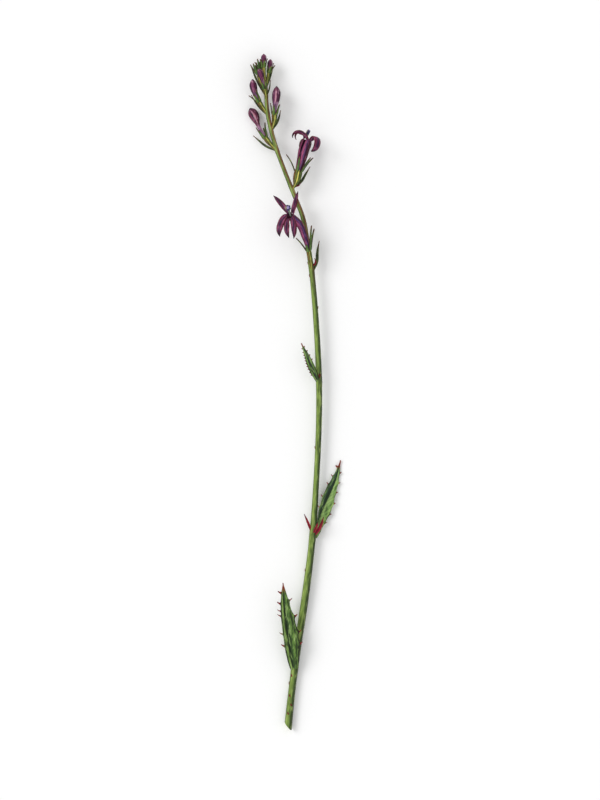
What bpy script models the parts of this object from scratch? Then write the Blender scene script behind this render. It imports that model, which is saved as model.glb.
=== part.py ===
"""Cut flowering stem of heath lobelia, laid on a flat surface.

The stem lies along +Y with its cut end at -Y, and +Z is up. The origin is on the surface, under the
middle of the whole stem. Blender's unit is the metre, and the sizes below are given in millimetres.
Every organ is shaped straight along +X and then bent along its own guide line by a Curve modifier.
On a straight organ +Y is its left side, seen from above, and +Z its top.
"""

import math

import bmesh
import bpy
from mathutils import Matrix, Vector

MM = 0.001

# Driving dimensions
GAP = 0.25 * MM  # clear space between an organ and what it grows from
LEAF_THICKNESS = 0.36 * MM
BRACT_THICKNESS = 0.3 * MM
PETAL_THICKNESS = 0.24 * MM
NECK_RADIUS = 0.45 * MM  # pedicel, where a calyx leaves the stem
TIP_WIDTH = 0.12 * MM  # blunt end of every leaf, bract and petal, from its middle
TOOTH_FOOT = 0.4 * MM  # half the width of a leaf's tooth where it leaves the margin
STEM_STEP = 5 * MM
STEM_RIBS = 5
RIB_DEPTH = 0.12  # share of the stem's radius between a rib and the groove beside it
CALYX_SIDES = 10
SEPAL_CLEAR = 0.25 * MM  # from the calyx's side to the middle of a sepal's thickness
TUBE_SIDES = 20

# Cross-sections of a sepal: share of its length, half width and half thickness
SEPAL_SECTIONS = [
    (0.12, 0.36 * MM, 0.16 * MM),
    (0.55, 0.3 * MM, 0.13 * MM),
    (1.0, 0.1 * MM, 0.08 * MM),
]

# Outline of closed petals: share of the length, and share of the widest radius
BUD_OUTLINE = [(0, 0), (0, 0.46), (0.25, 0.56), (0.5, 0.86), (0.68, 1), (0.84, 0.8), (0.94, 0.42), (1, 0)]

# The stem from the cut end to the tip: across, along, height of its middle and radius
STEM_ROUTE = [
    (-2.5, -117.9, 1.40, 1.40),
    (-1.15, -105.0, 1.50, 1.28),
    (0.8, -90.0, 1.70, 1.30),
    (3.6, -71.5, 2.05, 1.34),
    (6.0, -52.0, 2.40, 1.20),
    (7.3, -34.0, 2.70, 1.06),
    (8.3, -13.0, 3.10, 1.08),
    (8.4, 4.0, 3.40, 1.10),
    (7.5, 23.0, 3.80, 1.03),
    (5.9, 42.0, 4.20, 0.98),
    (4.5, 51.0, 4.40, 0.92),
    (2.9, 60.5, 4.60, 0.86),
    (-0.3, 69.0, 4.75, 0.80),
    (-3.9, 78.0, 4.90, 0.76),
    (-7.4, 88.0, 5.00, 0.78),
    (-9.5, 98.5, 5.05, 0.76),
    (-10.2, 108.0, 5.10, 0.58),
]

# Leaves. "at" and "side" say where each leaves the stem: along it, and the angle round it with
# 0 right, 90 on top and 180 left. "route" is the rest of the midrib and "roll" turns the blade
# about it. Widths are the widest half widths left and right, "widest" and "base" are shares of the
# length and of the width, and "section" raises the margin and the middle of each half.
LEAVES = {
    "lower_leaf": {
        "at": -96.9, "side": 86,
        "route": [(-0.9, -90.3, 4.4), (-1.9, -83.3, 5.3), (-3.0, -76.3, 6.2), (-3.7, -71.0, 7.0),
                  (-4.2, -66.7, 7.8)],
        "widths": (2.4, 3.4), "widest": 0.4, "base": 0.32, "taper": (3.0, 1.6), "section": (0.06, 0.3),
        "left_teeth": [0.28, 0.42, 0.63, 0.685, 0.765, 0.885],
        "right_teeth": [0.28, 0.42, 0.6, 0.79],
        "tooth": 1.0,
    },
    "middle_leaf": {
        "at": -50.9, "side": -14, "roll": [50, 28, 12, 4, 0, 0],
        "route": [(9.0, -44.6, 1.6), (11.1, -39.3, 1.0), (12.9, -34.6, 0.6), (14.5, -30.4, 0.4),
                  (16.0, -23.9, 0.6)],
        "widths": (2.75, 1.9), "widest": 0.48, "base": 0.3, "taper": (1.5, 1.5), "section": (0.5, 0.24),
        "left_teeth": [0.36, 0.5, 0.665, 0.785, 0.91],
        "right_teeth": [0.21, 0.33, 0.47, 0.605, 0.725, 0.845],
        "tooth": 0.75,
    },
    "upper_leaf": {
        "at": 3.6, "side": 112,
        "route": [(5.6, 9.1, 5.2), (3.9, 13.3, 5.5), (2.2, 17.1, 5.7)],
        "widths": (1.2, 1.2), "widest": 0.36, "base": 0.4, "taper": (1.7, 1.5), "section": (0.05, 0.25),
        "left_teeth": [0.28, 0.38, 0.48, 0.58, 0.68, 0.8],
        "right_teeth": [0.62, 0.8],
        "tooth": 0.4,
    },
}

# Small leaves: bracts under the flowers and buds, the lower flower's bracteole, and the red
# leaflets in the middle leaf's axil
BRACTS = {
    "middle_axil_long_leaflet": {
        "at": -49.9, "side": 36, "route": [(8.8, -47.2, 4.0), (10.05, -43.8, 4.5)], "width": 0.5,
    },
    "middle_axil_short_leaflet": {
        "at": -49.4, "side": 72, "route": [(7.4, -47.4, 4.6), (8.1, -45.7, 4.9)], "width": 0.34,
    },
    "middle_axil_left_leaflet": {
        "at": -48.6, "side": 146, "route": [(4.7, -45.7, 3.9), (3.2, -42.7, 4.1)], "width": 0.34,
    },
    "lower_flower_bract": {
        "at": 42.6, "side": -4, "route": [(7.9, 45.6, 4.0), (8.25, 49.2, 3.6), (8.5, 52.9, 3.2)],
        "width": 0.52,
    },
    "lower_flower_bracteole": {
        "at": 44.0, "side": 30, "route": [(7.1, 45.3, 5.2), (6.9, 46.8, 5.4)], "width": 0.3,
    },
    "upper_flower_bract": {
        "at": 71.2, "side": -30, "route": [(2.5, 73.6, 4.2), (4.1, 76.2, 3.9), (5.3, 78.9, 3.8)],
        "width": 0.5,
    },
    "upper_flower_bracteole": {
        "at": 71.6, "side": 8, "route": [(1.5, 72.4, 4.9), (1.95, 73.2, 5.0)], "width": 0.26,
    },
    "bud_1_bract": {
        "at": 84.6, "side": 204, "width": 0.42,
        "route": [(-10.4, 86.2, 3.2), (-12.5, 87.9, 2.4), (-14.7, 89.8, 1.6)],
    },
    "bud_2_bract": {
        "at": 91.6, "side": -30, "route": [(-6.0, 94.9, 4.2), (-5.0, 98.6, 3.8)], "width": 0.42,
    },
    "bud_3_bract": {
        "at": 97.0, "side": 214, "route": [(-13.2, 100.6, 3.7), (-15.4, 104.0, 3.4)], "width": 0.4,
    },
    "bud_4_bract": {
        "at": 103.8, "side": 20, "route": [(-8.9, 106.4, 5.9), (-8.6, 109.1, 6.4)], "width": 0.26,
    },
    "bud_5_bract": {
        "at": 106.6, "side": -56, "route": [(-8.1, 110.6, 2.9), (-7.4, 115.0, 2.5)], "width": 0.4,
    },
    "bud_7_bract": {
        "at": 103.8, "side": 212, "route": [(-13.2, 108.8, 3.3), (-15.6, 114.6, 3.2)], "width": 0.42,
    },
}

# Calyces: the line of the pedicel and ovary to the rim, the rim's radius, and the five sepals from
# the left one over the top: length, and how far it leans out in degrees. "turn" turns them all.
CALYCES = {
    "lower_flower": {
        "at": 43.2, "side": 88, "route": [(5.3, 46.6, 6.6), (4.6, 49.4, 7.1)], "rim": 0.86,
        "turn": -6, "sepals": [(6.6, 18), (2.8, 6), (9.2, 22), (8.6, 24), (5.0, 16)],
    },
    "upper_flower": {
        "at": 70.7, "side": 58, "route": [(0.5, 74.0, 6.2), (1.3, 77.4, 6.0)], "rim": 1.2,
        "turn": 0, "sepals": [(6.2, 36), (4.4, 8), (5.6, 24), (6.2, 30), (4.4, 18)],
    },
    "bud_1": {
        "at": 84.8, "side": 166, "route": [(-8.9, 87.1, 4.7), (-10.6, 89.3, 3.8)], "rim": 0.98,
        "turn": 0, "sepals": [(4.2, 14), (3.6, 10), (4.8, 24), (4.2, 14), (3.8, 14)],
    },
    "bud_2": {
        "at": 91.8, "side": 8, "route": [(-7.0, 94.8, 5.4), (-7.0, 97.6, 5.7)], "rim": 0.88,
        "turn": 0, "sepals": [(4.0, 15), (3.4, 8), (4.0, 15), (3.8, 14), (3.8, 14)],
    },
    "bud_3": {
        "at": 97.4, "side": 172, "route": [(-11.7, 100.1, 5.3), (-12.8, 101.9, 5.3)], "rim": 0.85,
        "turn": 0, "sepals": [(4.2, 18), (3.2, 8), (4.4, 10), (3.6, 12), (3.6, 12)],
    },
    "bud_4": {
        "at": 102.6, "side": 90, "route": [(-10.4, 104.6, 6.9), (-10.8, 106.4, 7.3)], "rim": 0.8,
        "turn": 0, "sepals": [(3.4, 14), (2.8, 8), (3.2, 10), (3.0, 12), (3.0, 12)],
    },
    "bud_5": {
        "at": 106.8, "side": -6, "route": [(-8.9, 109.9, 4.5), (-8.6, 112.2, 4.3)], "rim": 0.58,
        "turn": 36, "sepals": [(2.8, 14), (2.6, 12), (3.4, 18), (2.8, 16), (2.8, 14)],
    },
    "bud_7": {
        "at": 104.4, "side": 178, "route": [(-12.2, 108.6, 5.1), (-13.3, 111.9, 5.2)], "rim": 0.52,
        "turn": 0, "sepals": [(4.1, 14), (4.2, 8), (4.2, 8), (3.6, 10), (3.8, 14)],
    },
    "bud_8": {
        "at": 105.8, "side": 258, "route": [(-11.4, 109.6, 3.0), (-12.1, 113.0, 2.8)], "rim": 0.5,
        "turn": 0, "sepals": [(3.9, 16), (4.6, 8), (4.4, 6), (3.4, 10), (3.6, 12)],
    },
    "bud_6": {
        "route": [(-10.3, 108.3, 5.1), (-10.8, 111.6, 5.5), (-10.9, 114.2, 5.6)], "rim": 0.66,
        "turn": 36, "sepals": [(2.8, 14), (2.6, 8), (3.2, 14), (2.8, 10), (2.8, 12)],
    },
}

# Closed petals: the line from the rim to the tip, and the widest radius
BUD_PETALS = {
    "bud_1": {"route": [(-12.4, 92.4, 2.8), (-14.1, 96.4, 1.9), (-15.8, 99.4, 1.72)], "radius": 1.75},
    "bud_2": {"route": [(-6.8, 100.9, 5.9), (-6.5, 104.0, 6.0), (-6.4, 107.0, 5.9)], "radius": 1.45},
    "bud_3": {"route": [(-14.2, 105.4, 5.3), (-14.9, 109.5, 5.3)], "radius": 1.28},
    "bud_4": {"route": [(-11.7, 110.0, 7.7), (-12.7, 113.1, 7.9)], "radius": 1.2},
    "bud_5": {"route": [(-8.5, 114.3, 4.2), (-8.5, 116.6, 4.2)], "radius": 0.92},
    "bud_6": {"route": [(-10.9, 116.4, 5.6), (-10.9, 118.3, 5.6)], "radius": 0.94},
    "bud_7": {"route": [(-13.7, 113.3, 5.2), (-13.9, 114.4, 5.2)], "radius": 0.46},
    "bud_8": {"route": [(-12.3, 114.3, 2.8), (-12.4, 115.6, 2.8)], "radius": 0.44},
}

# Open corollas: the tube's line from the rim to the mouth, its radii at the foot, the belly and the
# mouth, and the angle round it of the slit. Each lobe grows from edges of the mouth on both sides
# of "centre", counted from the slit. Its heading goes from the first to the second "azimuth" round
# the tube, counted the same way, and its "pitch" is its angle to the tube.
COROLLAS = {
    "lower_flower": {
        "route": [(3.3, 54.4, 7.7), (1.5, 58.7, 7.8), (-1.1, 60.7, 8.3), (-1.9, 61.3, 9.6)],
        "radii": (0.66, 1.2, 1.4), "slit": 212,
        "lobes": [
            {"centre": -36, "edges": 3, "azimuth": (-25, -14), "pitch": (53, 72), "length": 8.4,
             "width": 0.75},
            {"centre": 36, "edges": 3, "azimuth": (32, 44), "pitch": (50, 76), "length": 8.2,
             "width": 0.8},
            {"centre": 99, "edges": 4, "azimuth": (125, 215), "pitch": (62, 124), "length": 8.6,
             "width": 1.25},
            {"centre": 180, "edges": 5, "azimuth": (188, 178), "pitch": (74, 112), "length": 6.3,
             "width": 1.15},
            {"centre": -99, "edges": 4, "azimuth": (-135, -184), "pitch": (76, 114), "length": 8.0,
             "width": 1.1},
        ],
    },
    "upper_flower": {
        "route": [(2.4, 81.6, 5.85), (3.2, 84.9, 5.8), (4.2, 88.0, 5.78)],
        "radii": (1.0, 1.87, 1.7), "slit": 56,
        "lobes": [
            {"centre": -36, "edges": 3, "azimuth": (-36, -36), "pitch": (-30, 238), "length": 6.8,
             "width": 0.85},
            {"centre": 36, "edges": 3, "azimuth": (-4, -34), "pitch": (8, 200), "length": 9.8,
             "width": 0.9},
            {"centre": 99, "edges": 4, "azimuth": (80, 65), "pitch": (6, 258), "length": 10.4,
             "width": 1.1},
            {"centre": 180, "edges": 5, "azimuth": (202, 212), "pitch": (80, 258), "length": 6.0,
             "width": 0.9},
            {"centre": -99, "edges": 4, "azimuth": (-126, -146), "pitch": (80, 258), "length": 5.6,
             "width": 0.85},
        ],
    },
}

# Stamens: filament tube and anther head, from inside the corolla to the free end, with radii
STAMENS = {
    "lower_flower": [(4.3, 51.6, 7.4, 0.2), (3.3, 54.4, 7.7, 0.22), (1.5, 58.7, 7.8, 0.26),
                     (-1.0, 60.8, 8.4, 0.28), (-1.8, 61.7, 9.9, 0.3), (-2.1, 63.0, 10.7, 0.34),
                     (-2.35, 64.1, 11.2, 0.62), (-2.4, 64.6, 11.9, 0.88), (-2.4, 64.75, 12.7, 0.8)],
    "upper_flower": [(1.8, 79.5, 5.9, 0.22), (2.4, 81.6, 5.85, 0.24), (3.2, 84.9, 5.8, 0.27),
                     (4.2, 87.9, 5.75, 0.3), (4.0, 89.6, 5.9, 0.34), (4.15, 90.3, 6.0, 0.46),
                     (4.8, 91.0, 6.1, 0.47), (5.2, 91.3, 6.15, 0.42)],
}

AXIL_BUD = {"at": 4.8, "side": 80, "route": [(8.65, 6.1, 5.2), (8.7, 6.9, 5.25)], "radius": 0.4}

# Colour and roughness of each finish
FINISHES = {
    "stem_green": ((0.24, 0.36, 0.09), 0.5),
    "leaf_green": ((0.13, 0.26, 0.07), 0.5),
    "bract_green": ((0.14, 0.19, 0.05), 0.55),
    "calyx_green": ((0.28, 0.34, 0.06), 0.5),
    "leaflet_red": ((0.29, 0.03, 0.04), 0.5),
    "bud_purple": ((0.26, 0.06, 0.14), 0.45),
    "petal_purple": ((0.17, 0.03, 0.09), 0.45),
    "anther_blue": ((0.16, 0.14, 0.28), 0.5),
}


def clear_scene():
    for obj in list(bpy.data.objects):
        bpy.data.objects.remove(obj)


def new_collection(name):
    made = bpy.data.collections.new(name)
    bpy.context.scene.collection.children.link(made)
    return made


def finish(name):
    """The material of a finish, made once."""
    made = bpy.data.materials.get(name)
    if made is None:
        colour, roughness = FINISHES[name]
        made = bpy.data.materials.new(name)
        made.use_nodes = True
        shader = made.node_tree.nodes["Principled BSDF"]
        shader.inputs["Base Color"].default_value = (*colour, 1)
        shader.inputs["Roughness"].default_value = roughness
        shader.inputs["Metallic"].default_value = 0
    return made


def in_metres(points):
    return [Vector(point) * MM for point in points]


def stem_row(along):
    """Middle and radius of the stem in metres, at a place along Y in millimetres."""
    rows = STEM_ROUTE
    k = 0
    while k < len(rows) - 2 and along > rows[k + 1][1]:
        k += 1
    before, start, end = rows[max(k - 1, 0)], rows[k], rows[k + 1]
    after = rows[min(k + 2, len(rows) - 1)]
    span = end[1] - start[1]
    t = (along - start[1]) / span

    def smooth(c):
        slope_in = (end[c] - before[c]) / (end[1] - before[1]) * span
        slope_out = (after[c] - start[c]) / (after[1] - start[1]) * span
        bend = slope_in * t * (1 - t) ** 2 - slope_out * t**2 * (1 - t)
        return start[c] + (end[c] - start[c]) * t**2 * (3 - 2 * t) + bend

    return Vector((smooth(0), along, smooth(2))) * MM, smooth(3) * MM


def on_stem(spec, clear):
    """The point where an organ leaves the stem, clear of its surface."""
    middle, radius = stem_row(spec["at"])
    run = (stem_row(spec["at"] + 1)[0] - stem_row(spec["at"] - 1)[0]).normalized()
    right = Vector((run.y, -run.x, 0))
    turn = math.radians(spec["side"])
    outward = right * math.cos(turn) + Vector((0, 0, math.sin(turn)))
    return middle + outward * (radius + clear)


def new_guide(name, points, rolls=()):
    """A smooth hidden line through the points, which bends an organ. Returns it and its length."""
    data = bpy.data.curves.new(name, "CURVE")
    data.dimensions = "3D"
    data.twist_mode = "Z_UP"
    data.resolution_u = 16
    spline = data.splines.new("BEZIER")
    spline.bezier_points.add(len(points) - 1)
    for knot, point in zip(spline.bezier_points, points):
        knot.co = point
        knot.handle_left_type = knot.handle_right_type = "AUTO"
    for knot, roll in zip(spline.bezier_points, rolls):
        knot.tilt = math.radians(roll)
    made = bpy.data.objects.new(name, data)
    made.hide_render = True
    made.display_type = "WIRE"
    guides.objects.link(made)
    bpy.context.view_layer.update()
    return made, spline.calc_length()


def new_organ(name, mesh, finish_name, line, sharp_angle=40):
    """Puts a mesh in the scene, with a Curve modifier that bends it along its guide line."""
    mesh.materials.append(finish(finish_name))
    mesh.shade_smooth()
    mesh.set_sharp_from_angle(angle=math.radians(sharp_angle))
    made = bpy.data.objects.new(name, mesh)
    plant.objects.link(made)
    bend = made.modifiers.new("bend", "CURVE")
    bend.object = line
    bend.deform_axis = "POS_X"
    return made


def add_before_bend(made, kind, name):
    added = made.modifiers.new(name, kind)
    made.modifiers.move(len(made.modifiers) - 1, 0)
    return added


def add_thickness(made, thickness):
    shell = add_before_bend(made, "SOLIDIFY", "thickness")
    shell.thickness = thickness
    shell.offset = 0


def stem_outline():
    """The stem's cut outline for a radius of 1 mm: blunt ribs with shallow grooves between them."""
    data = bpy.data.curves.new("stem_outline", "CURVE")
    data.dimensions = "2D"
    spline = data.splines.new("POLY")
    spline.points.add(2 * STEM_RIBS - 1)
    spline.use_cyclic_u = True
    for i, point in enumerate(spline.points):
        turn = math.pi * i / STEM_RIBS
        reach = (1 - RIB_DEPTH * (i % 2)) * MM
        point.co = (-reach * math.sin(turn), -reach * math.cos(turn), 0, 1)
    made = bpy.data.objects.new("stem_outline", data)
    made.hide_render = True
    made.display_type = "WIRE"
    guides.objects.link(made)
    return made


def build_stem():
    start, end = STEM_ROUTE[0][1], STEM_ROUTE[-1][1]
    steps = round((end - start) * MM / STEM_STEP)
    data = bpy.data.curves.new("stem", "CURVE")
    data.dimensions = "3D"
    data.twist_mode = "Z_UP"
    data.bevel_mode = "OBJECT"
    data.bevel_object = stem_outline()
    data.use_fill_caps = True
    spline = data.splines.new("POLY")
    spline.points.add(steps)
    for i, point in enumerate(spline.points):
        middle, radius = stem_row(start + (end - start) * i / steps)
        point.co = (*middle, 1)
        point.radius = radius / MM
    data.materials.append(finish("stem_green"))
    plant.objects.link(bpy.data.objects.new("stem", data))


def width_share(t, widest, base, taper):
    """Half width of a leaf at a share of its length, as a share of the widest half width."""
    if t < widest:
        return base + (1 - base) * math.sin(t / widest * math.pi / 2)
    return 1 - ((t - widest) / (1 - widest)) ** taper


def blade_grid(rows, columns):
    """A flat grid with its points as (row share, column from -1 right to 1 left)."""
    form = bmesh.new()
    bmesh.ops.create_grid(form, x_segments=len(rows) - 1, y_segments=columns, size=0.5)
    for vert in form.verts:
        vert.co = (rows[round((vert.co.x + 0.5) * (len(rows) - 1))], 2 * vert.co.y, 0)
    return form


def leaf_rows(spec, length):
    """Shares of the length: even steps, and three round each tooth."""
    teeth = spec["left_teeth"] + spec["right_teeth"]
    foot = TOOTH_FOOT / length
    even = [i / 8 for i in range(9)]
    rows = {t for t in even if all(abs(t - tooth) > 2 * foot for tooth in teeth)}
    for tooth in teeth:
        rows |= {tooth - foot, tooth, tooth + foot}
    return sorted(rows)


def build_leaf(name, spec):
    """A toothed leaf with a fold along its midrib and each half bulging a little."""
    points = [on_stem(spec, GAP + LEAF_THICKNESS), *in_metres(spec["route"])]
    line, length = new_guide(name + "_line", points, spec.get("roll", ()))
    margin, middle = spec["section"]
    form = blade_grid(leaf_rows(spec, length), 4)
    for vert in form.verts:
        t, column, _ = vert.co
        left = column > 0
        teeth = spec["left_teeth"] if left else spec["right_teeth"]
        side = 0 if left else 1
        share = width_share(t, spec["widest"], spec["base"], spec["taper"][side])
        half = max(spec["widths"][side] * MM * share, TIP_WIDTH)
        height = half * (margin if abs(column) > 0.9 else middle) if column else 0
        x, reach = t * length, half * abs(column)
        if abs(column) > 0.9 and any(abs(t - tooth) < 1e-6 for tooth in teeth):
            reach += spec["tooth"] * MM
            x += spec["tooth"] * MM / 2
        vert.co = (x, math.copysign(reach, column), height)
    mesh = bpy.data.meshes.new(name)
    form.to_mesh(mesh)
    form.free()
    add_thickness(new_organ(name, mesh, "leaf_green", line), LEAF_THICKNESS)


def build_bract(name, spec):
    """A plain narrow leaf, folded along its middle."""
    points = [on_stem(spec, GAP + BRACT_THICKNESS / 2), *in_metres(spec["route"])]
    line, length = new_guide(name + "_line", points)
    form = blade_grid([0, 0.16, 0.36, 0.58, 0.8, 1], 2)
    for vert in form.verts:
        t, column, _ = vert.co
        half = max(spec["width"] * MM * width_share(t, 0.35, 0.65, 1.5), TIP_WIDTH)
        vert.co = (t * length, column * half, abs(column) * half * 0.35)
    mesh = bpy.data.meshes.new(name)
    form.to_mesh(mesh)
    form.free()
    green = "bract" in name and "bracteole" not in name
    made = new_organ(name, mesh, "bract_green" if green else "leaflet_red", line)
    add_thickness(made, BRACT_THICKNESS)


def grow_cap(form, cap, x, radius):
    """Extrudes the end face of a round piece along X to a new place and radius."""
    grown = bmesh.ops.extrude_face_region(form, geom=[cap])["geom"]
    bmesh.ops.delete(form, geom=[cap], context="FACES_ONLY")
    cap = next(item for item in grown if isinstance(item, bmesh.types.BMFace))
    for vert in cap.verts:
        out = Vector((0, vert.co.y, vert.co.z)).normalized() * radius
        vert.co = (x, out.y, out.z)
    return cap


def grow_sepal(form, face, turn, root, length, lean):
    """Extrudes one face of the calyx's rim into a tapering sepal."""
    out = Vector((0, math.cos(turn), math.sin(turn)))
    across = Vector((0, -math.sin(turn), math.cos(turn)))
    tilt = math.radians(lean)
    ahead = Vector((math.cos(tilt), 0, 0)) + out * math.sin(tilt)
    outward = out * math.cos(tilt) - Vector((math.sin(tilt), 0, 0))
    rim_middle = face.calc_center_median().x
    corners = [(vert.co.dot(across) > 0, vert.co.x < rim_middle) for vert in face.verts]
    for share, half_width, half_thickness in SEPAL_SECTIONS:
        face = bmesh.ops.extrude_discrete_faces(form, faces=[face])["faces"][0]
        middle = root + ahead * (length * share)
        for vert, (positive, outer) in zip(face.verts, corners):
            aside = across * (half_width if positive else -half_width)
            vert.co = middle + aside + outward * (half_thickness if outer else -half_thickness)


def build_calyx(name, spec, points):
    """Pedicel, ovary and five sepals in one piece. The end of the line is the rim."""
    line, length = new_guide(name + "_calyx_line", points)
    rim = spec["rim"] * MM
    form = bmesh.new()
    turn_to_x = Matrix.Rotation(math.pi / CALYX_SIDES, 4, "X") @ Matrix.Rotation(math.pi / 2, 4, "Y")
    bmesh.ops.create_cone(form, cap_ends=True, segments=CALYX_SIDES, radius1=NECK_RADIUS,
                          radius2=NECK_RADIUS, depth=0.28 * length, matrix=turn_to_x)
    bmesh.ops.translate(form, verts=form.verts, vec=(0.14 * length, 0, 0))
    cap = max(form.faces, key=lambda face: face.calc_center_median().x)
    for share, radius in ((0.55, 0.78 * rim), (0.86, rim), (1, rim)):
        cap = grow_cap(form, cap, length * share, radius)
    rim_middle = 0.93 * length
    band = [face for face in form.faces
            if face is not cap and abs(face.calc_center_median().x - rim_middle) < 0.01 * length]
    for i, (sepal_length, lean) in enumerate(spec["sepals"]):
        turn = 2 * math.pi * i / len(spec["sepals"])
        out = Vector((0, math.cos(turn), math.sin(turn)))
        face = max(band, key=lambda face: face.calc_center_median().dot(out))
        band.remove(face)
        root = Vector((rim_middle, 0, 0)) + out * (rim + SEPAL_CLEAR)
        grow_sepal(form, face, turn, root, sepal_length * MM, lean)
    turn_all = Matrix.Rotation(math.radians(spec["turn"]), 3, "X")
    bmesh.ops.rotate(form, verts=form.verts, matrix=turn_all)
    mesh = bpy.data.meshes.new(name + "_calyx")
    form.to_mesh(mesh)
    form.free()
    new_organ(name + "_calyx", mesh, "calyx_green", line, sharp_angle=55)


def past_rim(spec):
    """The point just beyond a calyx's rim, where the petals start."""
    last, rim = in_metres(spec["route"][-2:])
    return rim + (rim - last).normalized() * GAP


def build_closed_petals(name, finish_name, points, radius):
    """A bud's folded petals: an outline turned about its own line."""
    line, length = new_guide(name + "_line", points)
    outline = [(x * length, share * radius, 0) for x, share in reversed(BUD_OUTLINE)]
    mesh = bpy.data.meshes.new(name)
    mesh.from_pydata(outline, [(i, i + 1) for i in range(len(outline) - 1)], [])
    turned = add_before_bend(new_organ(name, mesh, finish_name, line), "SCREW", "turned")
    turned.axis = "X"
    turned.steps = turned.render_steps = 8
    turned.use_merge_vertices = True
    turned.merge_threshold = 0.01 * MM
    turned.use_smooth_shade = True


def grow_edges(form, edges):
    """Extrudes a row of edges and returns the new row."""
    grown = bmesh.ops.extrude_edge_only(form, edges=edges)["geom"]
    return [item for item in grown if isinstance(item, bmesh.types.BMEdge)]


def grow_lobe(form, mouth_edges, spec, slit, mouth):
    """Extrudes part of the mouth's rim into one lobe that curls evenly."""
    half_span = math.pi * spec["edges"] / TUBE_SIDES
    centre = math.radians(spec["centre"])

    def beside(edge):
        middle = (edge.verts[0].co + edge.verts[1].co) / 2
        angle = math.atan2(middle.z, middle.y) - slit - centre
        return abs(math.remainder(angle, 2 * math.pi)) < half_span

    edges = [edge for edge in mouth_edges if beside(edge)]
    place = mouth[0] + Vector((0, math.cos(slit + centre), math.sin(slit + centre))) * mouth[1]
    steps = 7
    for i in range(1, steps + 1):
        share = (i - 0.5) / steps
        pitch, azimuth = (math.radians(first + (last - first) * share)
                          for first, last in (spec["pitch"], spec["azimuth"]))
        out = Vector((0, math.cos(slit + azimuth), math.sin(slit + azimuth)))
        across = Vector((0, -out.z, out.y))
        ahead = Vector((math.cos(pitch), 0, 0)) + out * math.sin(pitch)
        place += ahead * (spec["length"] * MM / steps)
        half = spec["width"] * MM * math.sin(math.pi * (0.25 + 0.72 * i / steps)) ** 0.7
        half = max(half, TIP_WIDTH)
        edges = grow_edges(form, edges)
        row = sorted({vert for edge in edges for vert in edge.verts},
                     key=lambda vert: vert.co.dot(across))
        for k, vert in enumerate(row):
            vert.co = place + across * (half * (2 * k / (len(row) - 1) - 1))


def build_corolla(name, spec, points):
    """A slit tube with two narrow and three broad lobes, one open surface thickened and bent."""
    line, length = new_guide(name + "_line", points)
    foot, belly, mouth = (radius * MM for radius in spec["radii"])
    slit = math.radians(spec["slit"])
    form = bmesh.new()
    bmesh.ops.create_circle(form, segments=TUBE_SIDES, radius=foot)
    half_side = math.pi / TUBE_SIDES
    turn_to_x = Matrix.Rotation(slit + half_side, 4, "X") @ Matrix.Rotation(math.pi / 2, 4, "Y")
    bmesh.ops.transform(form, matrix=turn_to_x, verts=form.verts)
    edges = list(form.edges)
    for share, radius in ((0.15, 1.08 * foot), (0.4, (foot + 2 * belly) / 3), (0.7, belly), (1, mouth)):
        edges = grow_edges(form, edges)
        for vert in {vert for edge in edges for vert in edge.verts}:
            out = Vector((0, vert.co.y, vert.co.z)).normalized() * radius
            vert.co = (share * length, out.y, out.z)
    toward_slit = Vector((0, math.cos(slit), math.sin(slit)))
    split = [face for face in form.faces if face.calc_center_median().x > 0.4 * length
             and face.calc_center_median().dot(toward_slit) > 0.999 * belly * math.cos(half_side)]
    bmesh.ops.delete(form, geom=split, context="FACES")
    mouth_edges = [edge for edge in form.edges if len(edge.link_faces) == 1
                   and min(vert.co.x for vert in edge.verts) > 0.99 * length]
    for lobe in spec["lobes"]:
        grow_lobe(form, mouth_edges, lobe, slit, (Vector((length, 0, 0)), mouth))
    bmesh.ops.recalc_face_normals(form, faces=form.faces)
    mesh = bpy.data.meshes.new(name)
    form.to_mesh(mesh)
    form.free()
    add_thickness(new_organ(name, mesh, "petal_purple", line), PETAL_THICKNESS)


def build_stamens(name, rows):
    """Filament tube and anther head: one round piece that changes radius along its line."""
    data = bpy.data.curves.new(name, "CURVE")
    data.dimensions = "3D"
    data.bevel_depth = 1 * MM
    data.bevel_resolution = 1
    data.use_fill_caps = True
    data.resolution_u = 3
    spline = data.splines.new("BEZIER")
    spline.bezier_points.add(len(rows) - 1)
    for knot, (x, y, z, radius) in zip(spline.bezier_points, rows):
        knot.co = Vector((x, y, z)) * MM
        knot.radius = radius
        knot.handle_left_type = knot.handle_right_type = "AUTO"
    data.materials.append(finish("anther_blue"))
    plant.objects.link(bpy.data.objects.new(name, data))


def build_flowers_and_buds():
    for name, spec in CALYCES.items():
        points = in_metres(spec["route"])
        if "at" in spec:
            points.insert(0, on_stem(spec, GAP + NECK_RADIUS))
        build_calyx(name, spec, points)
    for name, spec in BUD_PETALS.items():
        points = [past_rim(CALYCES[name]), *in_metres(spec["route"])]
        build_closed_petals(name + "_petals", "bud_purple", points, spec["radius"] * MM)
    for name, spec in COROLLAS.items():
        points = [past_rim(CALYCES[name]), *in_metres(spec["route"])]
        build_corolla(name + "_corolla", spec, points)
        build_stamens(name + "_stamens", STAMENS[name])


def build_axil_bud():
    radius = AXIL_BUD["radius"] * MM
    points = [on_stem(AXIL_BUD, GAP + radius), *in_metres(AXIL_BUD["route"])]
    build_closed_petals("upper_axil_bud", "leaflet_red", points, radius)


clear_scene()
plant = new_collection("heath_lobelia")
guides = new_collection("guides")
build_stem()
for leaf_name, leaf_spec in LEAVES.items():
    build_leaf(leaf_name, leaf_spec)
for bract_name, bract_spec in BRACTS.items():
    build_bract(bract_name, bract_spec)
build_flowers_and_buds()
build_axil_bud()
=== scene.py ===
import math

import bmesh
import bpy
from mathutils import Euler, Matrix, Vector, noise


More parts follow.
